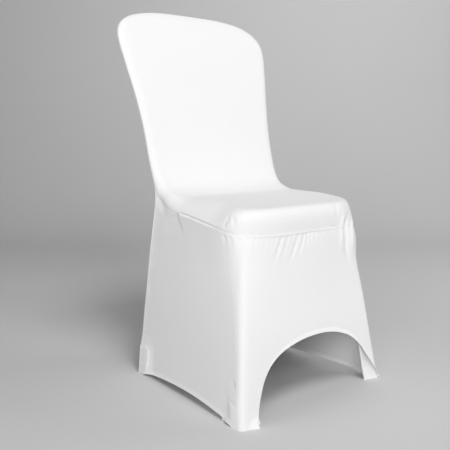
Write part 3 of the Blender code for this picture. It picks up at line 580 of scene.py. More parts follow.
    def skirt_plan(self, mark: Array, z: Array) -> Array:
        """Plan place of the skirt at a perimeter mark and a height.

        Args:
            mark: From 0 to 1 the left side, to 2 the left front edge, to 3 the front, to 4 the
                right front edge and to 5 the right side.
            z: Height over the floor.

        Returns:
            The (x, y) places.
        """
        front, radius, bow = (self.leg(name, z) for name in ("y", "radius", "bow"))
        stations, line = self.lower_line
        seam_station = smooth(line[::-1, 1], stations[::-1], z)
        rear_half, rear_y = self.rear_half_width(seam_station), smooth(stations, line, seam_station)[..., 0]
        right = mark > 2.5
        half = np.where(right, self.leg("right", z), self.leg("left", z))
        square = np.where(right, self.leg("right_square", z), self.leg("left_square", z))
        q = np.where(right, 5 - mark, mark)
        side, turn = np.clip(q, 0, 1), np.clip(q - 1, 0, 1) * math.pi / 2
        across = np.clip(mark - 2, 0, 1)
        waist = np.where(right, self.right_draw.waist, self.left_draw.waist)
        hem = np.where(right, self.right_draw.hem, self.left_draw.hem)
        draw = hem + (waist - hem) * ease(z / self.waist_height)
        draw = draw * np.sin(math.pi * side) ** self.side_draw_power
        side_y = rear_y + (front + radius - rear_y) * side
        side_x = rear_half + (half - rear_half) * side - draw
        side_x = side_x + self.swell_over_foot(z, rear_y - side_y)
        reach = radius / (np.cos(turn) ** square + np.sin(turn) ** square) ** (1 / square)
        turn_x, turn_y = half - radius + reach * np.cos(turn), front + radius - reach * np.sin(turn)
        x = np.where(q <= 1, side_x, turn_x) * np.where(right, 1, -1)
        y = np.where(q <= 1, side_y, turn_y)
        on_front = (mark > 2) & (mark < 3)
        flat_left, flat_right = self.leg("left", z) - radius, self.leg("right", z) - radius
        x = np.where(on_front, (flat_left + flat_right) * across - flat_left, x)
        y = np.where(on_front, front - bow * np.sin(math.pi * across), y)
        for point in self.corner_points:
            low = np.clip(1 - z / point.height, 0, 1) ** self.corner_point_power
            near = np.clip(1 - np.abs(mark - point.mark) / point.reach, 0, 1)
            x, y = x + point.out[0] * low * near, y + point.out[1] * low * near
        return np.stack([x, y], axis=-1)

    def waist_mark(self, point: Array) -> float:
        """The perimeter mark of a point of the waist seam."""
        x, y, z = point
        left, right, front, radius = (float(self.leg(n, z)) for n in ("left", "right", "y", "radius"))
        half = left if x < 0 else right
        junction_y = self.lower_line[1][0, 0]
        if y >= front + radius:
            q = (junction_y - y) / (junction_y - front - radius)
        elif abs(x) > half - radius:
            turn = math.atan2(front + radius - y, abs(x) - (half - radius))
            q = 1 + turn / (math.pi / 2)
        else:
            return 2 + (x + left - radius) / (left + right - 2 * radius)
        return q if x < 0 else 5 - q

    def arch_hem(self) -> tuple[Array, Array, Array]:
        """The front hem as perimeter marks, heights and paced distance, from left to right foot."""
        x, z = column(self.arch, "x"), column(self.arch, "z")
        reach = along(np.stack([x, z], axis=1))
        fine = np.linspace(0, reach[-1], self.fine.arch_points)
        x, z = smooth(reach, x, fine), np.maximum(smooth(reach, z, fine), 0.0)
        radius = self.leg("radius", z)
        flat_left, flat_right = self.leg("left", z) - radius, self.leg("right", z) - radius
        front = 2 + (x + flat_left) / (flat_left + flat_right)
        past = np.clip((x - flat_right) / radius, 0, 1)
        marks = np.where(x > flat_right, 3 + np.arcsin(past) / (math.pi / 2), front)
        strip = np.linspace(self.arch_foot_mark, marks[0], self.fine.arch_foot_points)[:-1]
        marks, z = np.concatenate([strip, marks]), np.concatenate([np.zeros(len(strip)), z])
        return marks, z, paced(np.column_stack([self.skirt_plan(marks, z), z]))

    def side_hem_height(self, q: float) -> float:
        """Height of a side hem, where q runs from 0 at the rear foot to 1 at the front foot."""
        clear = min(max((q - self.foot_span) / (1 - 2 * self.foot_span), 0.0), 1.0)
        return self.side_hem_rise * max(math.sin(math.pi * clear), 0.0) ** self.side_hem_power

    def bulged(self, points: Array) -> Array:
        """The points with the cover's local bulges."""
        away = points[:, :2] / np.maximum(np.linalg.norm(points[:, :2], axis=1), TINY)[:, None]
        moved = points.copy()
        for bulge in self.bulges:
            plan = np.linalg.norm(moved[:, :2] - np.array([bulge.x, bulge.y]), axis=1)
            up = (moved[:, 2] - bulge.z) / bulge.height
            near = np.exp(-((plan / bulge.reach) ** 2) - up**2)
            moved[:, :2] += away * (bulge.out * near)[:, None]
        return moved


# Creases, seams and hems


class Wall(Enum):
    """A side of the cover, with its outward direction in plan."""

    FRONT = (0.0, -1.0)
    LEFT = (-1.0, 0.0)
    RIGHT = (1.0, 0.0)
    REAR = (0.0, 1.0)


class Profile(Enum):
    """How a crease is shaped across its path."""

    TROUGH = "trough"
    RIDGE = "ridge"
    STEP = "step"


class Crease(NamedTuple):
    """A soft crease on one wall, in the cover's own frame.

    path is where it runs, as (across, height) places seen square to the wall, where across is x on
    the front and rear walls and y on the sides. width is its full width and depth how far the cloth
    moves. start and end are the shares of its path over which it sets in and fades. doubled is how
    far the cloth under it is doubled.
    """

    wall: Wall
    profile: Profile
    path: tuple[tuple[float, float], ...]
    width: float
    depth: float
    start: float = 0.12
    end: float = 0.6
    doubled: float = 0.0


def creases_of(wall: Wall, profile: Profile, *rows: tuple) -> tuple[Crease, ...]:
    """Creases of one kind on one wall.

    Args:
        wall: The wall that they lie on.
        profile: Their shape across.
        rows: For each crease, what Crease takes after its wall and profile.

    Returns:
        The creases, in the order of the rows.
    """
    return tuple(Crease(wall, profile, *row) for row in rows)


@dataclass(frozen=True)
class Creases:
    """All the cover's creases, and the moves that they give its cloth."""

    wall_depth: float = 0.05
    wall_fade: float = 0.4
    step_fade: float = 0.030
    path_steps: int = 40
    rebound: float = 0.6
    rows: tuple[Crease, ...] = (
        # Slanted puckers that hang from the seat's front seam
        *creases_of(
            Wall.FRONT, Profile.TROUGH,
            (((-0.186, 0.402), (-0.188, 0.350)), 0.012, 0.0016),
            (((-0.172, 0.400), (-0.174, 0.366)), 0.007, 0.0008),
            (((-0.158, 0.399), (-0.161, 0.374)), 0.006, 0.0008),
            (((-0.146, 0.399), (-0.149, 0.378)), 0.006, 0.0007),
            (((-0.130, 0.399), (-0.137, 0.366)), 0.008, 0.0010),
            (((-0.115, 0.399), (-0.122, 0.378)), 0.007, 0.0008),
            (((-0.102, 0.400), (-0.112, 0.370)), 0.008, 0.0010),
            (((-0.086, 0.400), (-0.097, 0.370), (-0.116, 0.330)), 0.011, 0.0020),
            (((-0.066, 0.401), (-0.078, 0.368), (-0.094, 0.334)), 0.010, 0.0014),
            (((-0.050, 0.401), (-0.060, 0.372)), 0.008, 0.0009),
            (((-0.034, 0.402), (-0.047, 0.368), (-0.070, 0.324)), 0.011, 0.0022),
            (((-0.014, 0.402), (-0.024, 0.372), (-0.042, 0.340)), 0.010, 0.0021),
            (((-0.002, 0.403), (-0.008, 0.380), (-0.016, 0.352)), 0.008, 0.0017),
            (((0.009, 0.403), (0.004, 0.380), (-0.002, 0.358)), 0.007, 0.0016),
            (((0.021, 0.403), (0.018, 0.382), (0.013, 0.362)), 0.007, 0.0012),
            (((0.033, 0.404), (0.031, 0.376)), 0.006, 0.0009),
            (((0.050, 0.404), (0.048, 0.378)), 0.007, 0.0008),
        ),
        # Upright folds below the right front corner of the seat, and the slack above them
        Crease(
            Wall.FRONT, Profile.RIDGE,
            ((0.130, 0.440), (0.116, 0.412), (0.115, 0.378), (0.120, 0.318)), 0.018, 0.0046, 0.3, 0.5,
        ),
        Crease(
            Wall.FRONT, Profile.TROUGH,
            ((0.150, 0.440), (0.136, 0.410), (0.136, 0.368), (0.142, 0.300)), 0.014, 0.0062, 0.3, 0.5,
        ),
        Crease(
            Wall.FRONT, Profile.RIDGE,
            ((0.176, 0.430), (0.163, 0.390), (0.158, 0.302)), 0.022, 0.0042, 0.25, 0.55,
        ),
        *creases_of(
            Wall.FRONT, Profile.TROUGH,
            (((0.104, 0.466), (0.094, 0.446), (0.096, 0.414)), 0.014, 0.0018, 0.25, 0.5),
            (((0.096, 0.4035), (0.066, 0.4030)), 0.006, 0.0014, 0.3, 0.5),
        ),
        # The tuck under the left edge of the seat, and the soft folds that leave it
        Crease(
            Wall.LEFT, Profile.TROUGH,
            ((0.010, 0.4386), (-0.010, 0.4360), (-0.080, 0.4250), (-0.145, 0.4145)),
            0.006, 0.0040, 0.10, 0.45,
        ),
        Crease(
            Wall.LEFT, Profile.STEP,
            ((0.017, 0.4400), (0.012, 0.4270), (0.001, 0.4110), (-0.006, 0.3860)), 0.009, -0.0026, 0.15, 0.5,
        ),
        Crease(
            Wall.LEFT, Profile.TROUGH,
            ((0.104, 0.472), (0.078, 0.450), (0.062, 0.420)), 0.030, 0.0026, 0.25, 0.6,
        ),
        # Crumpled corner of the seat's edge over the near leg
        *creases_of(
            Wall.LEFT, Profile.TROUGH,
            (((-0.150, 0.452), (-0.156, 0.438), (-0.150, 0.426), (-0.158, 0.414)), 0.010, 0.0013, 0.2, 0.4),
            (((-0.166, 0.450), (-0.172, 0.436), (-0.176, 0.420)), 0.009, 0.0011, 0.25, 0.45),
            (((-0.146, 0.408), (-0.152, 0.396), (-0.154, 0.376)), 0.012, 0.0010, 0.2, 0.7),
            (((-0.164, 0.404), (-0.168, 0.392), (-0.169, 0.372)), 0.010, 0.0008, 0.2, 0.7),
        ),
        # The near front pocket's edge, pressed through the wall, and the dimple over it
        Crease(
            Wall.LEFT, Profile.STEP,
            ((-0.200, 0.003), (-0.2050, 0.022), (-0.2055, 0.044), (-0.200, 0.060), (-0.188, 0.070)),
            0.008, 0.0046, 0.02, 0.5, 0.25,
        ),
        *creases_of(
            Wall.LEFT, Profile.TROUGH,
            (((-0.212, 0.0900), (-0.2235, 0.0880)), 0.010, 0.0028, 0.4, 0.4),
            (((-0.206, 0.058), (-0.220, 0.050), (-0.236, 0.047)), 0.009, 0.0013, 0.2, 0.5),
        ),
        # The rear seams' allowances, pressed through the side walls
        Crease(
            Wall.LEFT, Profile.RIDGE,
            ((0.094, 0.425), (0.106, 0.390), (0.122, 0.320), (0.138, 0.226), (0.153, 0.143), (0.161, 0.095)),
            0.0045, 0.0011, 0.08, 0.1, 0.9,
        ),
        Crease(
            Wall.RIGHT, Profile.RIDGE,
            ((0.096, 0.425), (0.107, 0.390), (0.123, 0.320), (0.139, 0.226), (0.154, 0.143), (0.162, 0.095)),
            0.0045, 0.0010, 0.08, 0.1, 0.8,
        ),
        # The near rear pocket's outline, pressed through the wall
        Crease(
            Wall.LEFT, Profile.RIDGE,
            ((0.174, 0.0735), (0.142, 0.0730), (0.1380, 0.067), (0.1385, 0.046), (0.1450, 0.016)),
            0.0065, 0.0022, 0.02, 0.1, 1.0,
        ),
        # The far side's, drawn a little otherwise
        Crease(
            Wall.RIGHT, Profile.RIDGE,
            ((0.172, 0.070), (0.143, 0.070), (0.1395, 0.066), (0.1400, 0.046), (0.1440, 0.018)),
            0.0065, 0.0022, 0.02, 0.1, 1.0,
        ),
        Crease(
            Wall.RIGHT, Profile.STEP,
            ((-0.186, 0.004), (-0.186, 0.040), (-0.182, 0.072), (-0.168, 0.090)),
            0.009, -0.0034, 0.02, 0.6, 0.25,
        ),
        Crease(
            Wall.RIGHT, Profile.TROUGH,
            ((0.010, 0.4385), (-0.070, 0.4270), (-0.120, 0.4190)), 0.007, 0.0044, 0.12, 0.5,
        ),
        Crease(
            Wall.RIGHT, Profile.STEP,
            ((0.012, 0.438), (0.006, 0.412), (-0.004, 0.372)), 0.009, 0.0022, 0.1, 0.6,
        ),
        *creases_of(
            Wall.RIGHT, Profile.TROUGH,
            (((-0.030, 0.433), (-0.040, 0.400), (-0.056, 0.372)), 0.012, 0.0016),
            (((-0.080, 0.425), (-0.088, 0.396), (-0.098, 0.374)), 0.011, 0.0014),
        ),
        # Tension lines of the outer back, fanning from the legs at seat height and over the feet
        *creases_of(
            Wall.REAR, Profile.TROUGH,
            (((-0.196, 0.470), (-0.140, 0.452), (-0.070, 0.446)), 0.024, 0.0026, 0.2, 0.6),
            (((-0.194, 0.440), (-0.150, 0.412), (-0.096, 0.398)), 0.020, 0.0018, 0.2, 0.6),
            (((0.194, 0.474), (0.134, 0.458), (0.076, 0.450)), 0.022, 0.0024, 0.2, 0.6),
            (((0.192, 0.436), (0.146, 0.416), (0.104, 0.406)), 0.020, 0.0014, 0.2, 0.6),
            (((-0.192, 0.100), (-0.150, 0.062), (-0.090, 0.038)), 0.020, 0.0020, 0.2, 0.6),
            (((0.190, 0.104), (0.152, 0.066), (0.098, 0.042)), 0.020, 0.0020, 0.2, 0.6),
        ),
    )

    def moved(self, points: Array, doubling: Array) -> tuple[Array, Array]:
        """The points with every crease in them.

        Args:
            points: Places of the smooth cloth.
            doubling: How far the cloth is doubled at each of them.

        Returns:
            The creased places, and the doubling with what shows through the creases.
        """
        shaped, doubled = points.copy(), doubling.copy()
        for crease in self.rows:
            shift, near = self.shift(crease, points)
            outward = np.array([*crease.wall.value, 0.0])
            shaped += shift[:, None] * outward
            doubled = np.maximum(doubled, near * crease.doubled)
        return shaped, doubled

    def shift(self, crease: Crease, points: Array) -> tuple[Array, Array]:
        """How far one crease moves each point outwards, and how near each point is to its line."""
        outward = np.array(crease.wall.value)
        sideways = points[:, 1] if outward[0] else points[:, 0]
        place = np.stack([sideways, points[:, 2]], axis=1)
        path = np.array(crease.path)
        reach = along(path)
        fine = np.linspace(0, reach[-1], self.path_steps)
        straight = np.linspace(path[0], path[1], self.path_steps)
        line = smooth(reach, path, fine) if len(path) > 2 else straight
        margin = crease.width * 2 + self.step_fade
        near = np.all((place > line.min(0) - margin) & (place < line.max(0) + margin), axis=1)
        near &= points[:, :2] @ outward > 0
        moves, nearness = np.zeros(len(points)), np.zeros(len(points))
        if not near.any():
            return moves, nearness
        gaps = place[near][:, None] - line[None]
        squares = np.sum(gaps**2, axis=2)
        closest = np.argmin(squares, axis=1)
        ways = np.gradient(line, axis=0)
        ways /= np.linalg.norm(ways, axis=1)[:, None]
        gap, way = gaps[np.arange(len(closest)), closest], ways[closest]
        side = np.sign(gap[:, 1] * way[:, 0] - gap[:, 0] * way[:, 1])
        across = np.sqrt(squares[np.arange(len(closest)), closest])
        share = closest / (len(line) - 1)
        length = ease(share / crease.start) * ease((1 - share) / crease.end)
        half = crease.width / 2
        if crease.profile is Profile.STEP:
            signed = across * side
            rise = ease(signed / half + 0.5) * np.exp(-np.maximum(signed, 0) / self.step_fade)
            moves[near] = crease.depth * rise * length
        else:
            s = (across / half) ** 2
            sign = 1 if crease.profile is Profile.RIDGE else -1
            moves[near] = sign * crease.depth * (1 - self.rebound * s) * np.exp(-s) * length
        nearness[near] = np.exp(-((across / half) ** 4)) * np.where(length > 0.02, 1.0, 0.0)
        return moves * self.on_wall(crease.wall, points), nearness

    def on_wall(self, wall: Wall, points: Array) -> Array:
        """1 on the wall's own cloth, and 0 away from it."""
        outward = np.array(wall.value)
        limit = {Wall.FRONT: 0.150, Wall.LEFT: 0.165, Wall.RIGHT: 0.165, Wall.REAR: 0.110}[wall]
        return ease((points[:, :2] @ outward - limit) / (self.wall_depth * self.wall_fade))


@dataclass(frozen=True)
class Stitching:
    """Sizes of the sewn seams and hems."""

    groove: float = 0.45 * MM
    seam_ridge: float = 0.9 * MM
    seam_reach: float = 2.2 * MM
    hem_width: float = 10 * MM
    hem_lift: float = 0.5 * MM
    hem_dip: float = 0.35 * MM
    stitch_length: float = 3.2 * MM
    stitch_share: float = 0.72
    row_gap: float = 2.6 * MM
    thread_edge: float = 0.9 * MM
    thread_core: float = 0.3 * MM

    def hem_bump(self, distance: Array) -> Array:
        """How far the doubled hem stands out, with the dip of its stitches."""
        on_hem = 1 - ease((distance - 0.85 * self.hem_width) / (0.25 * self.hem_width))
        dip = np.exp(-(((distance - self.hem_width) / (1.6 * MM)) ** 2))
        return self.hem_lift * on_hem - self.hem_dip * dip

    def doubled(self, distance: Array) -> Array:
        """How far the cloth is doubled at a distance from the hem."""
        return 1 - ease((distance - self.hem_width) / (1.5 * MM))


# Sheets of cloth


def add_object(name: str, data: bpy.types.ID) -> bpy.types.Object:
    """Makes an object of some data and links it to the scene."""
    made = bpy.data.objects.new(name, data)
    bpy.context.scene.collection.objects.link(made)
    return made


@dataclass
class ClothSheet:
    """A sheet's outer face: its points, quads and what its finish reads."""

    name: str
    points: Array
    quads: Array
    grain: Array
    hem_run: Array
    hem_distance: Array
    doubling: Array

    def normals(self) -> Array:
        """Outward direction at each point."""
        p = self.points
        corners = [p[self.quads[:, k]] for k in range(4)]
        flat = np.cross(corners[2] - corners[0], corners[3] - corners[1])
        total = np.zeros_like(p)
        for k in range(4):
            np.add.at(total, self.quads[:, k], flat)
        return total / np.maximum(np.linalg.norm(total, axis=1), TINY * TINY)[:, None]

    def built(self, thickness: float) -> bpy.types.Object:
        """Makes the sheet's object, with the given thickness behind its outer face."""
        data = bpy.data.meshes.new(self.name)
        data.from_pydata(self.points.tolist(), [], self.quads.tolist())
        loops = np.empty(len(data.loops), int)
        data.loops.foreach_get("vertex_index", loops)
        hem = np.stack([self.hem_run, self.hem_distance], axis=1)
        for layer, values in (("grain", self.grain), ("hem", hem)):
            uv = data.uv_layers.new(name=layer)
            uv.data.foreach_set("uv", values[loops].ravel())
        doubled = data.attributes.new("doubling", "FLOAT", "POINT")
        doubled.data.foreach_set("value", self.doubling)
        data.update()
        sheet = add_object(self.name, data)
        bpy.ops.object.select_all(action="DESELECT")
        sheet.select_set(True)
        bpy.context.view_layer.objects.active = sheet
        shell = sheet.modifiers.new("thickness", "SOLIDIFY")
        shell.thickness = thickness
        shell.offset = -1.0
        shell.use_rim = True
        bpy.ops.object.modifier_apply(modifier=shell.name)
        self.kept_above_floor(data)
        bpy.ops.object.shade_smooth_by_angle(angle=math.radians(50))
        return sheet

    def kept_above_floor(self, data: bpy.types.Mesh) -> None:
        """Lifts what the thickness put under the floor."""
        places = np.empty(3 * len(data.vertices))
        data.vertices.foreach_get("co", places)
        places[2::3] = np.maximum(places[2::3], 0.0)
        data.vertices.foreach_set("co", places)
        data.update()


@dataclass
class Sewing:
    """Turns the taut form's points into the finished cloth's places."""

    form: TautForm
    creases: Creases
    stitching: Stitching
    unevenness: float = 0.35 * MM
    back_middle: float = 0.72
    back_from: float = 0.47
    back_fade: float = 0.06
    # Where the seams stand out: y and its fade, height and its fade
    front_ridge: tuple[float, float, float, float] = (-0.17, 0.03, 0.30, 0.05)
    rear_ridge: tuple[float, float, float, float] = (0.09, 0.02, 0.42, 0.04)

    def finished(self, sheet: ClothSheet, seam: Array) -> ClothSheet:
        """Bulges, creases, seams and hems, in place on the sheet.

        Args:
            sheet: The smooth sheet, still measured from under the seat.
            seam: Which of its points lie on a seam.

        Returns:
            The same sheet, in the cover's own frame.
        """
        points = self.form.bulged(sheet.points)
        points[:, 1] -= MIDDLE_Y
        points, sheet.doubling = self.creases.moved(points, sheet.doubling)
        points += self.undulation(points)[:, None] * self.away(points)
        close = np.exp(-((self.distance_from(points, points[seam]) / self.stitching.seam_reach) ** 2))
        points += self.away(points) * (self.seam_stand(points) * close)[:, None]
        sheet.points = points
        bump = self.stitching.hem_bump(sheet.hem_distance)
        sheet.points = points + sheet.normals() * bump[:, None]
        return sheet

    def away(self, points: Array) -> Array:
        """Direction away from the cover's hollow, the same for both panels at a seam."""
        below = points * np.array([1.0, 1.0, 0.0])
        above = (points - np.array([0.0, 0.0, self.back_middle])) * np.array([1.0, 0.0, 1.0])
        on_back = ease((points[:, 2] - self.back_from) / self.back_fade)[:, None]
        mixed = below * (1 - on_back) + above * on_back
        return mixed / np.maximum(np.linalg.norm(mixed, axis=1), TINY)[:, None]

    def distance_from(self, points: Array, seam: Array) -> Array:
        """Distance of each point from the nearest one of a seam."""
        tree = KDTree(len(seam))
        for number, place in enumerate(seam):
            tree.insert(place, number)
        tree.balance()
        return np.array([tree.find(place)[2] for place in points])

    def seam_stand(self, points: Array) -> Array:
        """How far a seam stands out: a ridge at the seat's front and rear legs, else a groove."""
        y, y_fade, z, z_fade = self.front_ridge
        front = ease((y - points[:, 1]) / y_fade) * ease((points[:, 2] - z) / z_fade)
        y, y_fade, z, z_fade = self.rear_ridge
        rear = ease((points[:, 1] - y) / y_fade) * (1 - ease((points[:, 2] - z) / z_fade))
        ridge = front + rear
        return self.stitching.seam_ridge * ridge - self.stitching.groove * (1 - ridge)

    def undulation(self, points: Array) -> Array:
        """The taut cloth's slight unevenness, as long shallow waves."""
        x, y, z = points.T
        waves = (
            np.sin(31 * x + 23 * y + 17 * z + 0.4)
            + 0.8 * np.sin(-47 * x + 38 * y + 12 * z + 2.1)
            + 0.6 * np.sin(63 * x + 71 * y - 34 * z + 4.0)
        )
        return self.unevenness * waves / 2.4


@dataclass
class SeatAndInnerBack:
    """The strip that covers the inner back and the seat, and wraps over their edges."""

    form: TautForm
    sewing: Sewing
    name: str = "seat_and_inner_back"

    def rings(self) -> list[tuple[tuple[Array, ...], float]]:
        """The outline and the rings inside it, with each ring's height over the seam."""
        rings = []
        for turn in self.form.fine.edge_turns:
            crown, right, nose, left = self.form.outline(self.form.edge_rounding * (1 - math.cos(turn)))
            right = np.concatenate([run[k:] for k, run in enumerate(self.form.edge_runs(right))])
            shares = self.form.fine.shares_across
            left = mirrored(right)[::-1]
            shoulder = self.form.left_shoulder * self.form.on_left_shoulder(left[:, 0], left[:, 1])
            left[:, 0] += shoulder * (1 - math.cos(turn))
            sides = (resample(crown, shares), right, resample(nose, shares), left)
            rings.append((sides, math.sin(turn)))
        return rings

    def sheet(self) -> tuple[ClothSheet, Array]:
        """The smooth sheet and its seam's points, in order."""
        rings = self.rings()
        runs = [np.concatenate([side[:-1] for side in sides]) for sides, _ in rings]
        count = len(runs[0])
        outward = runs[0] - runs[-1]
        outward /= np.maximum(np.linalg.norm(outward, axis=1), TINY)[:, None]
        points, grain = [], []
        for run, (_, height) in zip(runs, rings):
            points.append(self.form.seat_point(run[:, 0], run[:, 1], np.full(count, height)))
            depth = self.form.face_value("depth", run[:, 1])
            grain.append(run + outward * (depth * (1 - height))[:, None])
        index = np.arange(len(rings) * count).reshape(len(rings), count)
        quads = [grid_quads(np.concatenate([index, index[:, :1]], axis=1))]
        crown, right, nose, left = rings[-1][0]
        grid = coons(crown, right, nose[::-1], left[::-1])
        rows, columns = grid.shape[:2]
        inner = np.empty((rows, columns), int)
        last = index[-1]
        inner[0, :-1], inner[:-1, -1] = last[: columns - 1], last[columns - 1 : columns + rows - 2]
        inner[-1, :0:-1] = last[columns + rows - 2 : 2 * columns + rows - 3]
        inner[:0:-1, 0] = last[2 * columns + rows - 3 :]
        flat = grid[1:-1, 1:-1].reshape(-1, 2)
        inner[1:-1, 1:-1] = index.size + np.arange(len(flat)).reshape(rows - 2, columns - 2)
        quads.append(grid_quads(inner))
        points.append(self.form.seat_point(flat[:, 0], flat[:, 1], np.ones(len(flat))))
        grain.append(flat)
        points, grain = np.concatenate(points), np.concatenate(grain)
        far = np.full(len(points), 1.0)
        sheet = ClothSheet(self.name, points, np.concatenate(quads), grain, far * 0, far, far * 0)
        return sheet, np.arange(count)

    def waist(self, points: Array, count: int) -> Array:
        """The waist seam's points, from the left junction round the front to the right one."""
        fine = self.form.fine
        start = fine.across + fine.crown_to_junction
        end = start + 2 * fine.junction_to_nose + fine.across
        return points[:count][np.arange(start, end + 1) % count][::-1]


@dataclass
class OuterBack:
    """The panel over the back's rear side, from the crown down to the rear hem."""

    form: TautForm
    sewing: Sewing
    name: str = "outer_back"

    def sheet(self) -> tuple[ClothSheet, Array, tuple[Array, Array]]:
        """The smooth sheet, its seam's points and its walls beside the left and right rear feet."""
        form, fine = self.form, self.form.fine
        stations = form.rear_stations[1:]
        rings, points, grain = [], [], []
        for turn in fine.edge_turns:
            inset = form.back_corner * (1 - math.cos(turn))
            crown, right, _, _ = form.outline(inset)
            lower = np.stack([form.rear_half_width(stations) - inset, stations], axis=1)
            down = np.concatenate([form.edge_runs(right)[0], lower])
            top = resample(crown, fine.shares_across)
            run = np.concatenate([mirrored(down)[::-1][:-1], top[:-1], down])
            rings.append(run)
            height = math.sin(turn)
            points.append(form.outer_back_point(run[:, 0], run[:, 1], np.full(len(run), height)))
            grain.append(run + (rings[0] - run) * (1 - height))
        count = len(rings[0])
        index = np.arange(len(rings) * count).reshape(len(rings), count)
        columns = fine.across + 1
        rows = (count - columns) // 2 + 1
        run = rings[-1]
        left, top, right = run[:rows], run[rows - 1 : rows + columns - 1], run[rows + columns - 2 :]
        hem_x = np.linspace(left[0, 0], right[-1, 0], columns)
        bottom = np.stack([hem_x, np.full(columns, stations[-1])], axis=1)
        grid = coons(top, right, bottom, left[::-1])
        inner = np.empty((rows, columns), int)
        last = index[-1]
        inner[:, 0], inner[0] = last[:rows][::-1], last[rows - 1 : rows + columns - 1]
        inner[:, -1] = last[rows + columns - 2 :]
        flat = grid[1:, 1:-1].reshape(-1, 2)
        inner[1:, 1:-1] = index.size + np.arange(len(flat)).reshape(rows - 1, columns - 2)
        points.append(form.outer_back_point(flat[:, 0], flat[:, 1], np.ones(len(flat))))
        grain.append(flat)
        points, grain = form.with_raised_hem(np.concatenate(points)), np.concatenate(grain)
        quads = np.concatenate([grid_quads(index)[:, ::-1], grid_quads(inner)[:, ::-1]])
        distance = np.minimum(stations[-1] - grain[:, 1], 1.0)
        sheet = ClothSheet(
            self.name, points, quads, grain, grain[:, 0].copy(), distance,
            self.sewing.stitching.doubled(distance),
        )
        low, wide = fine.drop + 1, columns // 4
        left_index = [ring[:low][::-1] for ring in index[1:-1]] + [inner[-low:, c] for c in range(wide)]
        right_index = [ring[-low:] for ring in index[1:-1]] + [inner[-low:, -1 - c] for c in range(wide)]
        walls = tuple(np.stack([points[i] for i in side], axis=1) for side in (left_index, right_index))
        return sheet, np.arange(count), walls


@dataclass
class Skirt:
    """The panel that wraps round both sides and the arched front, from the waist to the floor."""

    form: TautForm
    sewing: Sewing
    name: str = "skirt_panel"

    def sheet(self, waist: Array) -> tuple[ClothSheet, Array, tuple[Array, Array]]:
        """The smooth sheet, its seam's points and its walls beside the left and right feet.

        Args:
            waist: Points of the waist seam, from the left junction round to the right one.

        Returns:
            The sheet, the numbers of its seam's points, and its two side walls.
        """
        form, fine = self.form, self.form.fine
        marks = np.array([form.waist_mark(point) for point in waist])
        marks[0], marks[-1] = 0.0, 5.0
        hem_mark, hem_z, hem_reach = form.arch_hem()
        first, last = fine.junction_to_nose, len(waist) - 1 - fine.junction_to_nose
        columns = []
        for n, point in enumerate(waist):
            if first <= n <= last:
                at = (n - first) / (last - first) * hem_reach[-1]
                low_mark, low_z = np.interp(at, hem_reach, hem_mark), np.interp(at, hem_reach, hem_z)
            else:
                left = n < first
                inner = marks[first] if left else 5 - marks[last]
                end = hem_mark[0] if left else 5 - hem_mark[-1]
                low_q = (marks[n] if left else 5 - marks[n]) * end / inner
                low_mark = low_q if left else 5 - low_q
                low_z = form.side_hem_height(min(low_q, 1.0))
            columns.append(self.drop(point, marks[n], low_mark, low_z))
        grid = np.stack(columns, axis=1)
        rows, count = grid.shape[:2]
        index = np.arange(rows * count).reshape(rows, count)
        steps = np.linalg.norm(np.diff(grid, axis=0), axis=2)
        below = np.concatenate([np.cumsum(steps[::-1], axis=0)[::-1], np.zeros((1, count))])
        below += 2 * self.sewing.stitching.hem_width * (1 - ease(grid[-1, :, 2] / (6 * MM)))
        run = np.tile(along(grid[0]), (rows, 1))
        hem_run = np.tile(along(grid[-1]), (rows, 1))
        seam = np.unique(np.concatenate([index[0], index[:, 0], index[:, -1]]))
        sheet = ClothSheet(
            self.name, grid.reshape(-1, 3), grid_quads(index),
            np.stack([run, grid[..., 2]], axis=-1).reshape(-1, 2), hem_run.ravel(), below.ravel(),
            self.sewing.stitching.doubled(below.ravel()),
        )
        return sheet, seam, (grid[:, : first + 1], grid[:, last:][:, ::-1])

    def drop(self, top: Array, top_mark: float, low_mark: float, low_z: float) -> Array:
        """Points down one column of the skirt, from the waist seam to the hem."""
        v = self.form.fine.shares_down
        if top_mark in (0.0, 5.0):
            stations = self.form.rear_stations
            side = np.sign(top_mark - 1) * self.form.rear_half_width(stations)
            return self.form.outer_back_point(side, stations, np.zeros(len(stations)))
        z = top[2] + (low_z - top[2]) * v
        plan = self.form.skirt_plan(top_mark + (low_mark - top_mark) * v, z)
        slip = (top[:2] - plan[0]) * ((1 - v) ** self.form.slip_power)[:, None]
        return np.column_stack([plan + slip, z])


# Foot pockets


class PocketRow(NamedTuple):
    """One foot pocket: a cup of doubled cloth inside a corner of the hem.

    side_reach is how far it runs along the side wall. Its inner wall ends at floor and top, for a
    front pocket as places in plan, and for a rear one as a length along the rear wall. cut is the
    width, length and filled share of its flat cut.
    """

    name: str
    front: bool
    right: bool
    side_reach: float
    floor: tuple[float, float]
    top: tuple[float, float]
    height: float
    cut: tuple[float, float, float]


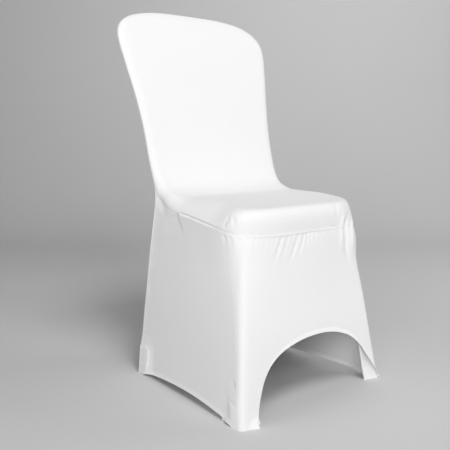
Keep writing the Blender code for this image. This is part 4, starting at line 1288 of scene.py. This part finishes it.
@dataclass
class FootPocket:
    """Builds one foot pocket against the walls round it."""

    row: PocketRow
    walls: list[Array]
    form: TautForm
    wall_gap: float = 2.6 * MM
    thickness: float = 1.2 * MM
    tuck: float = 0.35
    belly: float = 0.05
    cap: float = 0.011
    lean: float = 0.6
    around: int = 40
    levels: int = 30
    mitre: float = 0.45
    floor_share: float = 0.45
    hem_share: float = 0.4
    face_steps: int = 4

    def section(self, wall: Array, z: float) -> Array:
        """Plan of a wall, given as rows of points downwards, where it is cut at a height."""
        rising = wall[::-1]
        cut = [
            [np.interp(z, rising[:, n, 2], rising[:, n, axis]) for axis in (0, 1)]
            for n in range(wall.shape[1])
        ]
        return np.array(cut)

    def last_stretch(self, run: Array, length: float) -> Array:
        """The end of a run of points, of a given length."""
        reach = along(run)
        start = max(reach[-1] - length, 0.0)
        first = [np.interp(start, reach, run[:, axis]) for axis in (0, 1)]
        return np.concatenate([[first], run[reach > start + TINY]])

    def corner_plan(self, z: float) -> Array:
        """The walls' plan round the pocket's corner: along the side wall, then along the face."""
        row = self.row
        if not row.front:
            reach = row.side_reach * (self.floor_share + (1 - self.floor_share) * ease(z / row.height))
            side = self.last_stretch(self.section(self.walls[0], z)[::-1], reach)
            face = self.last_stretch(self.section(self.walls[1], z)[::-1], row.floor[0])[::-1]
            return np.concatenate([side, face])
        share = z / row.height
        tuck = share if row.right else float(ease(np.array(share / self.tuck)))
        end = np.array([
            row.floor[0] + (row.top[0] - row.floor[0]) * tuck,
            row.floor[1] + (row.top[1] - row.floor[1]) * share,
        ])
        side = self.last_stretch(self.section(self.walls[0][:, :-1], z), row.side_reach)
        reach = np.linspace(0, 1, self.face_steps + 1)[1:, None]
        return np.concatenate([side, side[-1] + (end - side[-1]) * reach])

    def drawn_in(self, ring: Array, by: float) -> Array:
        """A closed anticlockwise ring of plan points with its sides moved inwards."""
        before, after = ring - np.roll(ring, 1, axis=0), np.roll(ring, -1, axis=0) - ring
        before /= np.linalg.norm(before, axis=1)[:, None]
        after /= np.linalg.norm(after, axis=1)[:, None]
        inward = np.stack([-(before + after)[:, 1], (before + after)[:, 0]], axis=1)
        inward /= np.linalg.norm(inward, axis=1)[:, None]
        facing = np.abs(inward[:, 0] * -before[:, 1] + inward[:, 1] * before[:, 0])
        return ring + inward * (by / np.maximum(facing, self.mitre))[:, None]

    def end_cap(self, before: Array, end: Array, turn: int) -> Array:
        """Where the inner wall starts, inwards from an end of the outer wall."""
        run = (end - before) / np.linalg.norm(end - before)
        return end + self.cap * (turn * np.array([-run[1], run[0]]) - self.lean * run)

    def ring(self, z: float) -> Array:
        """The plan of the pocket's outside at a height, anticlockwise."""
        skin = resample(self.corner_plan(z), np.linspace(0, 1, self.around + 1), 0.0)
        hub = np.array([skin[-1, 0], skin[0, 1]])
        if self.row.front == self.row.right:
            skin = skin[::-1]
        first, last = self.end_cap(skin[1], skin[0], -1), self.end_cap(skin[-2], skin[-1], 1)
        middle = (first + last) / 2
        control = middle + (hub - middle) * self.belly
        t = np.linspace(0, 1, self.around + 1)[:, None]
        inner = (1 - t) ** 2 * last + 2 * t * (1 - t) * control + t**2 * first
        ring = np.concatenate([skin, inner])
        return np.concatenate([self.drawn_in(ring, self.wall_gap)[: len(skin)], inner])

    def sheet(self, stitching: Stitching) -> ClothSheet:
        """The cup's outer face: its wall in levels, and its sole drawn in to the middle."""
        heights = np.linspace(self.row.height, 0, self.levels + 1)
        rings = [np.column_stack([r := self.ring(z), np.full(len(r), z)]) for z in heights]
        grid = np.stack(rings)
        grid[..., 1] -= MIDDLE_Y
        rows, count = grid.shape[:2]
        index = np.arange(rows * count).reshape(rows, count)
        quads = grid_quads(np.concatenate([index, index[:, :1]], axis=1))
        run = np.tile(along(grid[0]), (rows, 1))
        up = np.tile(heights[:, None], (1, count))
        grain = np.stack([run, up], axis=-1).reshape(-1, 2)
        distance = (self.row.height - up).ravel()
        sheet = ClothSheet(
            self.row.name, grid.reshape(-1, 3), quads, grain, run.ravel(), distance,
            np.ones(rows * count),
        )
        sheet.quads = np.concatenate([sheet.quads, self.sole(index[-1])])
        sheet.points = sheet.points + sheet.normals() * stitching.hem_bump(distance)[:, None] * self.hem_share
        return sheet

    def sole(self, ring: Array) -> Array:
        """Quads of the sole, each between facing pieces of the outer and the inner wall."""
        count = len(ring)
        quads = [
            (ring[k], ring[k + 1], ring[count - 2 - k], ring[count - 1 - k])
            for k in range(count // 2 - 1)
        ]
        return np.array(quads)


POCKETS = (
    PocketRow(
        "foot_pocket_front_left", True, False, 0.074,
        (-0.176, -0.192), (-0.192, -0.179), 0.088, (0.21, 0.13, 0.90),
    ),
    PocketRow(
        "foot_pocket_front_right", True, True, 0.050,
        (0.195, -0.171), (0.164, -0.176), 0.107, (0.17, 0.14, 0.85),
    ),
    PocketRow(
        "foot_pocket_rear_left", False, False, 0.050,
        (0.050, 0.0), (0.0, 0.0), 0.084, (0.16, 0.11, 0.90),
    ),
    PocketRow(
        "foot_pocket_rear_right", False, True, 0.050,
        (0.050, 0.0), (0.0, 0.0), 0.084, (0.16, 0.11, 0.90),
    ),
)


# Finishes


# A wave texture of scale 1 has its bands this far apart.
BAND_PERIOD = 0.31


def linear(hex_colour: str) -> tuple[float, float, float, float]:
    """An sRGB hex colour as linear RGBA."""
    values = [int(hex_colour[k : k + 2], 16) / 255 for k in (1, 3, 5)]
    return (*[v / 12.92 if v <= 0.04045 else ((v + 0.055) / 1.055) ** 2.4 for v in values], 1.0)


def add_node(
    tree: bpy.types.NodeTree, kind: str, settings: dict | None = None, links: dict | None = None
) -> bpy.types.Node:
    """Adds a node.

    Args:
        tree: The material's node tree.
        kind: The node's type name.
        settings: Attributes to set, and input values by input name or number.
        links: Output sockets to link, by input name or number.

    Returns:
        The node.
    """
    node = tree.nodes.new(kind)
    for key, value in (settings or {}).items():
        if isinstance(key, int) or key in node.inputs:
            node.inputs[key].default_value = value
        else:
            setattr(node, key, value)
    for key, socket in (links or {}).items():
        tree.links.new(socket, node.inputs[key])
    return node


def new_material(name: str, roughness: float) -> tuple[bpy.types.Material, bpy.types.Node]:
    """A material of the given name, and its shader with the given roughness."""
    made = bpy.data.materials.new(name)
    made.use_nodes = True
    shader = made.node_tree.nodes["Principled BSDF"]
    shader.inputs["Roughness"].default_value = roughness
    return made, shader


@dataclass(frozen=True)
class StretchJersey:
    """Optic white polyester and elastane knit, heat-set smooth: matt, with a faint soft sheen.

    One layer is thin enough to look a little greyer than doubled cloth, and its wales show as faint
    upright lines where it is drawn tight.
    """

    name: str
    single_layer: str = "#EFEFEF"
    doubled_layer: str = "#FAFAFA"
    roughness: float = 0.78
    sheen: float = 0.12
    sheen_roughness: float = 0.5
    # Wales of the real knit are about 0.7 mm apart, too fine to show. They are drawn as uneven
    # upright lines this far apart.
    wale_spacing: float = 3.0 * MM
    wale_length: float = 70 * MM
    wale_shade: tuple[float, float] = (0.975, 1.02)
    knit_spacing: float = 1.4 * MM
    stitch: Stitching = Stitching()

    def material(self) -> bpy.types.Material:
        """Makes the material."""
        made, shader = new_material(self.name, self.roughness)
        tree = made.node_tree
        shader.inputs["Sheen Weight"].default_value = self.sheen
        shader.inputs["Sheen Roughness"].default_value = self.sheen_roughness
        grain = add_node(tree, "ShaderNodeUVMap", {"uv_map": "grain"}).outputs["UV"]
        wales = self.wales(tree, grain)
        self.colour(tree, shader, wales)
        self.relief(tree, shader, grain, wales)
        return made

    def wales(self, tree: bpy.types.NodeTree, grain: bpy.types.NodeSocket) -> bpy.types.NodeSocket:
        """Uneven upright lines along the knit's wales."""
        stretch = (1 / self.wale_spacing, 1 / self.wale_length, 1.0)
        mapping = add_node(tree, "ShaderNodeMapping", {"Scale": stretch}, {"Vector": grain})
        noise = add_node(
            tree, "ShaderNodeTexNoise", {"Scale": 1.0, "Detail": 2.0, "Roughness": 0.5},
            {"Vector": mapping.outputs["Vector"]},
        )
        return noise.outputs["Fac"]

    def colour(
        self, tree: bpy.types.NodeTree, shader: bpy.types.Node, wales: bpy.types.NodeSocket
    ) -> None:
        """Whiter where the cloth is doubled, and slightly uneven along the wales."""
        doubling = add_node(tree, "ShaderNodeAttribute", {"attribute_name": "doubling"})
        layers = add_node(
            tree, "ShaderNodeMix",
            {"data_type": "RGBA", 6: linear(self.single_layer), 7: linear(self.doubled_layer)},
            {0: doubling.outputs["Fac"]},
        )
        darker, lighter = self.wale_shade
        shade = add_node(
            tree, "ShaderNodeMapRange", {"To Min": darker, "To Max": lighter}, {"Value": wales}
        )
        tinted = add_node(
            tree, "ShaderNodeVectorMath", {"operation": "MULTIPLY"},
            {0: layers.outputs[2], 1: shade.outputs["Result"]},
        )
        tree.links.new(tinted.outputs["Vector"], shader.inputs["Base Color"])

    def relief(
        self,
        tree: bpy.types.NodeTree,
        shader: bpy.types.Node,
        grain: bpy.types.NodeSocket,
        wales: bpy.types.NodeSocket,
    ) -> None:
        """The knit's loops, its uneven wales and the stitches along the hem, as bump."""
        loops = add_node(
            tree, "ShaderNodeTexWave",
            {
                "wave_type": "BANDS", "bands_direction": "DIAGONAL", "Scale": BAND_PERIOD / self.knit_spacing,
                "Distortion": 0.6,
            },
            {"Vector": grain},
        )
        knit = add_node(
            tree, "ShaderNodeBump", {"Strength": 0.25, "Distance": 0.15 * MM},
            {"Height": loops.outputs["Fac"]},
        )
        drawn = add_node(
            tree, "ShaderNodeBump", {"Strength": 0.5, "Distance": 0.12 * MM},
            {"Height": wales, "Normal": knit.outputs["Normal"]},
        )
        stitches = add_node(
            tree, "ShaderNodeBump", {"Strength": 0.7, "Distance": 0.5 * MM},
            {"Height": self.stitches(tree), "Normal": drawn.outputs["Normal"]},
        )
        tree.links.new(stitches.outputs["Normal"], shader.inputs["Normal"])

    def stitches(self, tree: bpy.types.NodeTree) -> bpy.types.NodeSocket:
        """Two rows of short stitches at the hem's upper edge."""
        hem = add_node(tree, "ShaderNodeUVMap", {"uv_map": "hem"}).outputs["UV"]
        place = add_node(tree, "ShaderNodeSeparateXYZ", links={0: hem})
        step = add_node(
            tree, "ShaderNodeMath", {"operation": "MODULO", 1: self.stitch.stitch_length},
            {0: place.outputs["X"]},
        )
        dash = add_node(
            tree, "ShaderNodeMath",
            {"operation": "LESS_THAN", 1: self.stitch.stitch_share * self.stitch.stitch_length},
            {0: step.outputs[0]},
        )
        rows = None
        for distance in (self.stitch.hem_width - self.stitch.row_gap, self.stitch.hem_width):
            off = add_node(
                tree, "ShaderNodeMath", {"operation": "SUBTRACT", 1: distance}, {0: place.outputs["Y"]}
            )
            far = add_node(tree, "ShaderNodeMath", {"operation": "ABSOLUTE"}, {0: off.outputs[0]})
            row = add_node(
                tree, "ShaderNodeMapRange",
                {"From Min": self.stitch.thread_edge, "From Max": self.stitch.thread_core},
                {"Value": far.outputs[0]},
            ).outputs["Result"]
            if rows is not None:
                row = add_node(tree, "ShaderNodeMath", {"operation": "MAXIMUM"}, {0: rows, 1: row}).outputs[0]
            rows = row
        both = add_node(tree, "ShaderNodeMath", {"operation": "MULTIPLY"}, {0: rows, 1: dash.outputs[0]})
        return both.outputs[0]


@dataclass(frozen=True)
class StudioPaper:
    """Seamless studio paper, matt and pale grey."""

    name: str = "pale_studio_paper"
    colour: str = "#D2D2D2"
    roughness: float = 0.9

    def material(self) -> bpy.types.Material:
        """Makes the material."""
        made, shader = new_material(self.name, self.roughness)
        tree = made.node_tree
        place = add_node(tree, "ShaderNodeTexCoord").outputs["Object"]
        mottle = add_node(
            tree, "ShaderNodeTexNoise", {"Scale": 1.3, "Detail": 2.0}, {"Vector": place}
        )
        base = linear(self.colour)
        lighter = tuple(min(v * 1.03, 1.0) for v in base[:3]) + (1.0,)
        shade = add_node(
            tree, "ShaderNodeMix", {"data_type": "RGBA", 6: base, 7: lighter}, {0: mottle.outputs["Fac"]}
        )
        tree.links.new(shade.outputs[2], shader.inputs["Base Color"])
        return made


# The studio


class SoftLight(NamedTuple):
    """A soft box: where it hangs, what it points at, its sides and its power in watts."""

    name: str
    place: tuple[float, float, float]
    aim: tuple[float, float, float]
    size: tuple[float, float]
    power: float


@dataclass
class Studio:
    """Floor and sweep, soft light and the camera."""

    camera_place: tuple[float, float, float] = (-1.0876, -1.2254, 0.6242)
    camera_heading: float = 39.6
    camera_tilt: float = 8.07
    lens_mm: float = 51.85
    sensor_mm: float = 36.0
    floor_half: float = 3.6
    sweep_start: float = 1.95
    sweep_radius: float = 1.1
    sweep_top: float = 3.6
    sweep_steps: int = 24
    ambient: float = 0.01
    ambient_colour: str = "#F4F5F7"
    lights: tuple[SoftLight, ...] = (
        SoftLight("key_soft_box", (-1.36, -3.37, 2.55), (0.0, 0.0, 0.45), (1.2, 1.2), 45.0),
        SoftLight("high_soft_box", (-0.60, -2.00, 3.70), (0.0, 0.0, 0.45), (1.3, 1.3), 60.0),
        SoftLight("low_near_soft_box", (-2.06, -3.56, 1.35), (0.0, 0.0, 0.45), (1.4, 1.4), 26.0),
        SoftLight("low_left_soft_box", (-3.56, -2.06, 1.35), (0.0, 0.0, 0.45), (1.4, 1.4), 38.0),
        SoftLight("right_soft_box", (2.60, -1.50, 1.05), (0.0, 0.0, 0.45), (1.3, 1.3), 18.0),
        SoftLight("left_soft_box", (-2.72, 0.24, 1.30), (0.0, 0.0, 0.45), (1.3, 1.3), 9.0),
        SoftLight("backdrop_soft_box", (1.37, -0.23, 2.60), (2.77, 1.47, 1.20), (1.0, 0.5), 15.5),
        SoftLight("backdrop_left_box", (0.45, 0.54, 2.60), (1.85, 2.23, 1.20), (1.0, 0.5), 5.5),
    )

    def build(self) -> None:
        """Makes the floor, the lights, the world and the camera."""
        self.sweep()
        for light in self.lights:
            self.soft_box(light)
        self.world()
        self.camera()

    def sweep(self) -> None:
        """A floor that curves up into a wall behind the cover, square to the camera."""
        turn = np.linspace(0, math.pi / 2, self.sweep_steps)
        depth = np.concatenate([[-self.floor_half], self.sweep_start + self.sweep_radius * np.sin(turn), [0]])
        rise = np.concatenate([[0.0], self.sweep_radius * (1 - np.cos(turn)), [self.sweep_top]])
        depth[-1] = depth[-2]
        heading = math.radians(self.camera_heading)
        ahead, across = (math.sin(heading), math.cos(heading)), (math.cos(heading), -math.sin(heading))
        points = []
        for side in (-self.floor_half, self.floor_half):
            for d, z in zip(depth, rise):
                points.append((ahead[0] * d + across[0] * side, ahead[1] * d + across[1] * side, z))
        count = len(depth)
        faces = [(k, k + count, k + count + 1, k + 1) for k in range(count - 1)]
        data = bpy.data.meshes.new("studio_sweep")
        data.from_pydata(points, [], faces)
        data.shade_smooth()
        floor = add_object("studio_sweep", data)
        data.materials.append(StudioPaper().material())

    def soft_box(self, light: SoftLight) -> None:
        """Hangs one soft box."""
        data = bpy.data.lights.new(light.name, "AREA")
        data.shape = "RECTANGLE"
        data.size, data.size_y = light.size
        data.energy = light.power
        box = add_object(light.name, data)
        self.point(box, light.place, light.aim)

    def point(self, thing: bpy.types.Object, place: Sequence[float], aim: Sequence[float]) -> None:
        """Puts a light at a place, turned towards its aim."""
        way = np.array(aim, float) - np.array(place, float)
        flat = math.hypot(way[0], way[1])
        thing.location = place
        thing.rotation_euler = (math.atan2(flat, -way[2]), 0.0, math.atan2(-way[0], way[1]))

    def world(self) -> None:
        """The room's soft light from all round."""
        world = bpy.data.worlds.new("studio_air")
        world.use_nodes = True
        sky = world.node_tree.nodes["Background"]
        sky.inputs["Color"].default_value = linear(self.ambient_colour)
        sky.inputs["Strength"].default_value = self.ambient
        bpy.context.scene.world = world
        bpy.context.scene.view_settings.view_transform = "Standard"

    def camera(self) -> None:
        """The camera, from the cover's front left at seat height and a little above."""
        data = bpy.data.cameras.new("studio_camera")
        data.sensor_width = self.sensor_mm
        data.lens = self.lens_mm
        camera = add_object("studio_camera", data)
        camera.location = self.camera_place
        tilt, heading = math.radians(90 - self.camera_tilt), math.radians(-self.camera_heading)
        camera.rotation_euler = (tilt, 0.0, heading)
        bpy.context.scene.camera = camera


# The whole cover


class Held(Enum):
    """How a sheet of cloth is held."""

    STRETCHED = "stretched"


@dataclass
class StretchCover:
    """The whole cover: three panels and four foot pockets."""

    form: TautForm
    sewing: Sewing
    body: str = "root"
    thickness: float = 1.2 * MM
    # Width and length of each panel's cut, with the share of that rectangle which it fills
    seat_cut: tuple[float, float, float] = (0.54, 0.88, 0.84)
    back_cut: tuple[float, float, float] = (0.54, 1.00, 0.86)
    skirt_cut: tuple[float, float, float] = (1.28, 0.48, 0.78)

    def build(self) -> None:
        """Sews and dresses every piece, and hides the imported part's nodes that they replace."""
        jersey = StretchJersey("white_stretch_jersey").material()
        doubled = StretchJersey("doubled_jersey", single_layer="#F0F0F0", roughness=0.82).material()
        seat = SeatAndInnerBack(self.form, self.sewing)
        seat_sheet, seat_seam = seat.sheet()
        waist = seat.waist(seat_sheet.points, len(seat_seam))
        skirt_sheet, skirt_seam, skirt_walls = Skirt(self.form, self.sewing).sheet(waist)
        back_sheet, back_seam, back_walls = OuterBack(self.form, self.sewing).sheet()
        panels = (
            (seat_sheet, seat_seam, "front_panel", self.seat_cut),
            (back_sheet, back_seam, "back_panel", self.back_cut),
            (skirt_sheet, skirt_seam, "skirt", self.skirt_cut),
        )
        for sheet, seam, node, cut in panels:
            finished = self.sewing.finished(sheet, seam)
            self.declare(finished.built(self.thickness), node, jersey)
        for row in POCKETS:
            walls = [skirt_walls[row.right]] if row.front else [skirt_walls[row.right], back_walls[row.right]]
            pocket = FootPocket(row, walls, self.form)
            sheet = pocket.sheet(self.sewing.stitching)
            sheet.name = row.name + "_cloth"
            self.declare(sheet.built(pocket.thickness), row.name, doubled)

    def declare(
        self,
        piece: bpy.types.Object,
        node: str,
        finish: bpy.types.Material,
    ) -> None:
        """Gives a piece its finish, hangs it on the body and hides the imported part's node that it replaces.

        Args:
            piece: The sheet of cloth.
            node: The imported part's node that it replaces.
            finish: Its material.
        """
        piece.data.materials.append(finish)
        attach(piece, self.body)
        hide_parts(node)
        log.info("%s: %d faces", piece.name, len(piece.data.polygons))


def corners(box: tuple) -> list[list[float]]:
    """A box's corners as plain lists."""
    return [list(corner) for corner in box]


def main() -> None:
    """Loads the frame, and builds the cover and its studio."""
    logging.basicConfig(level=logging.INFO, format="%(name)s: %(message)s")
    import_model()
    form = TautForm()
    StretchCover(form, Sewing(form, Creases(), Stitching())).build()
    Studio().build()


if __name__ == "__main__":
    main()
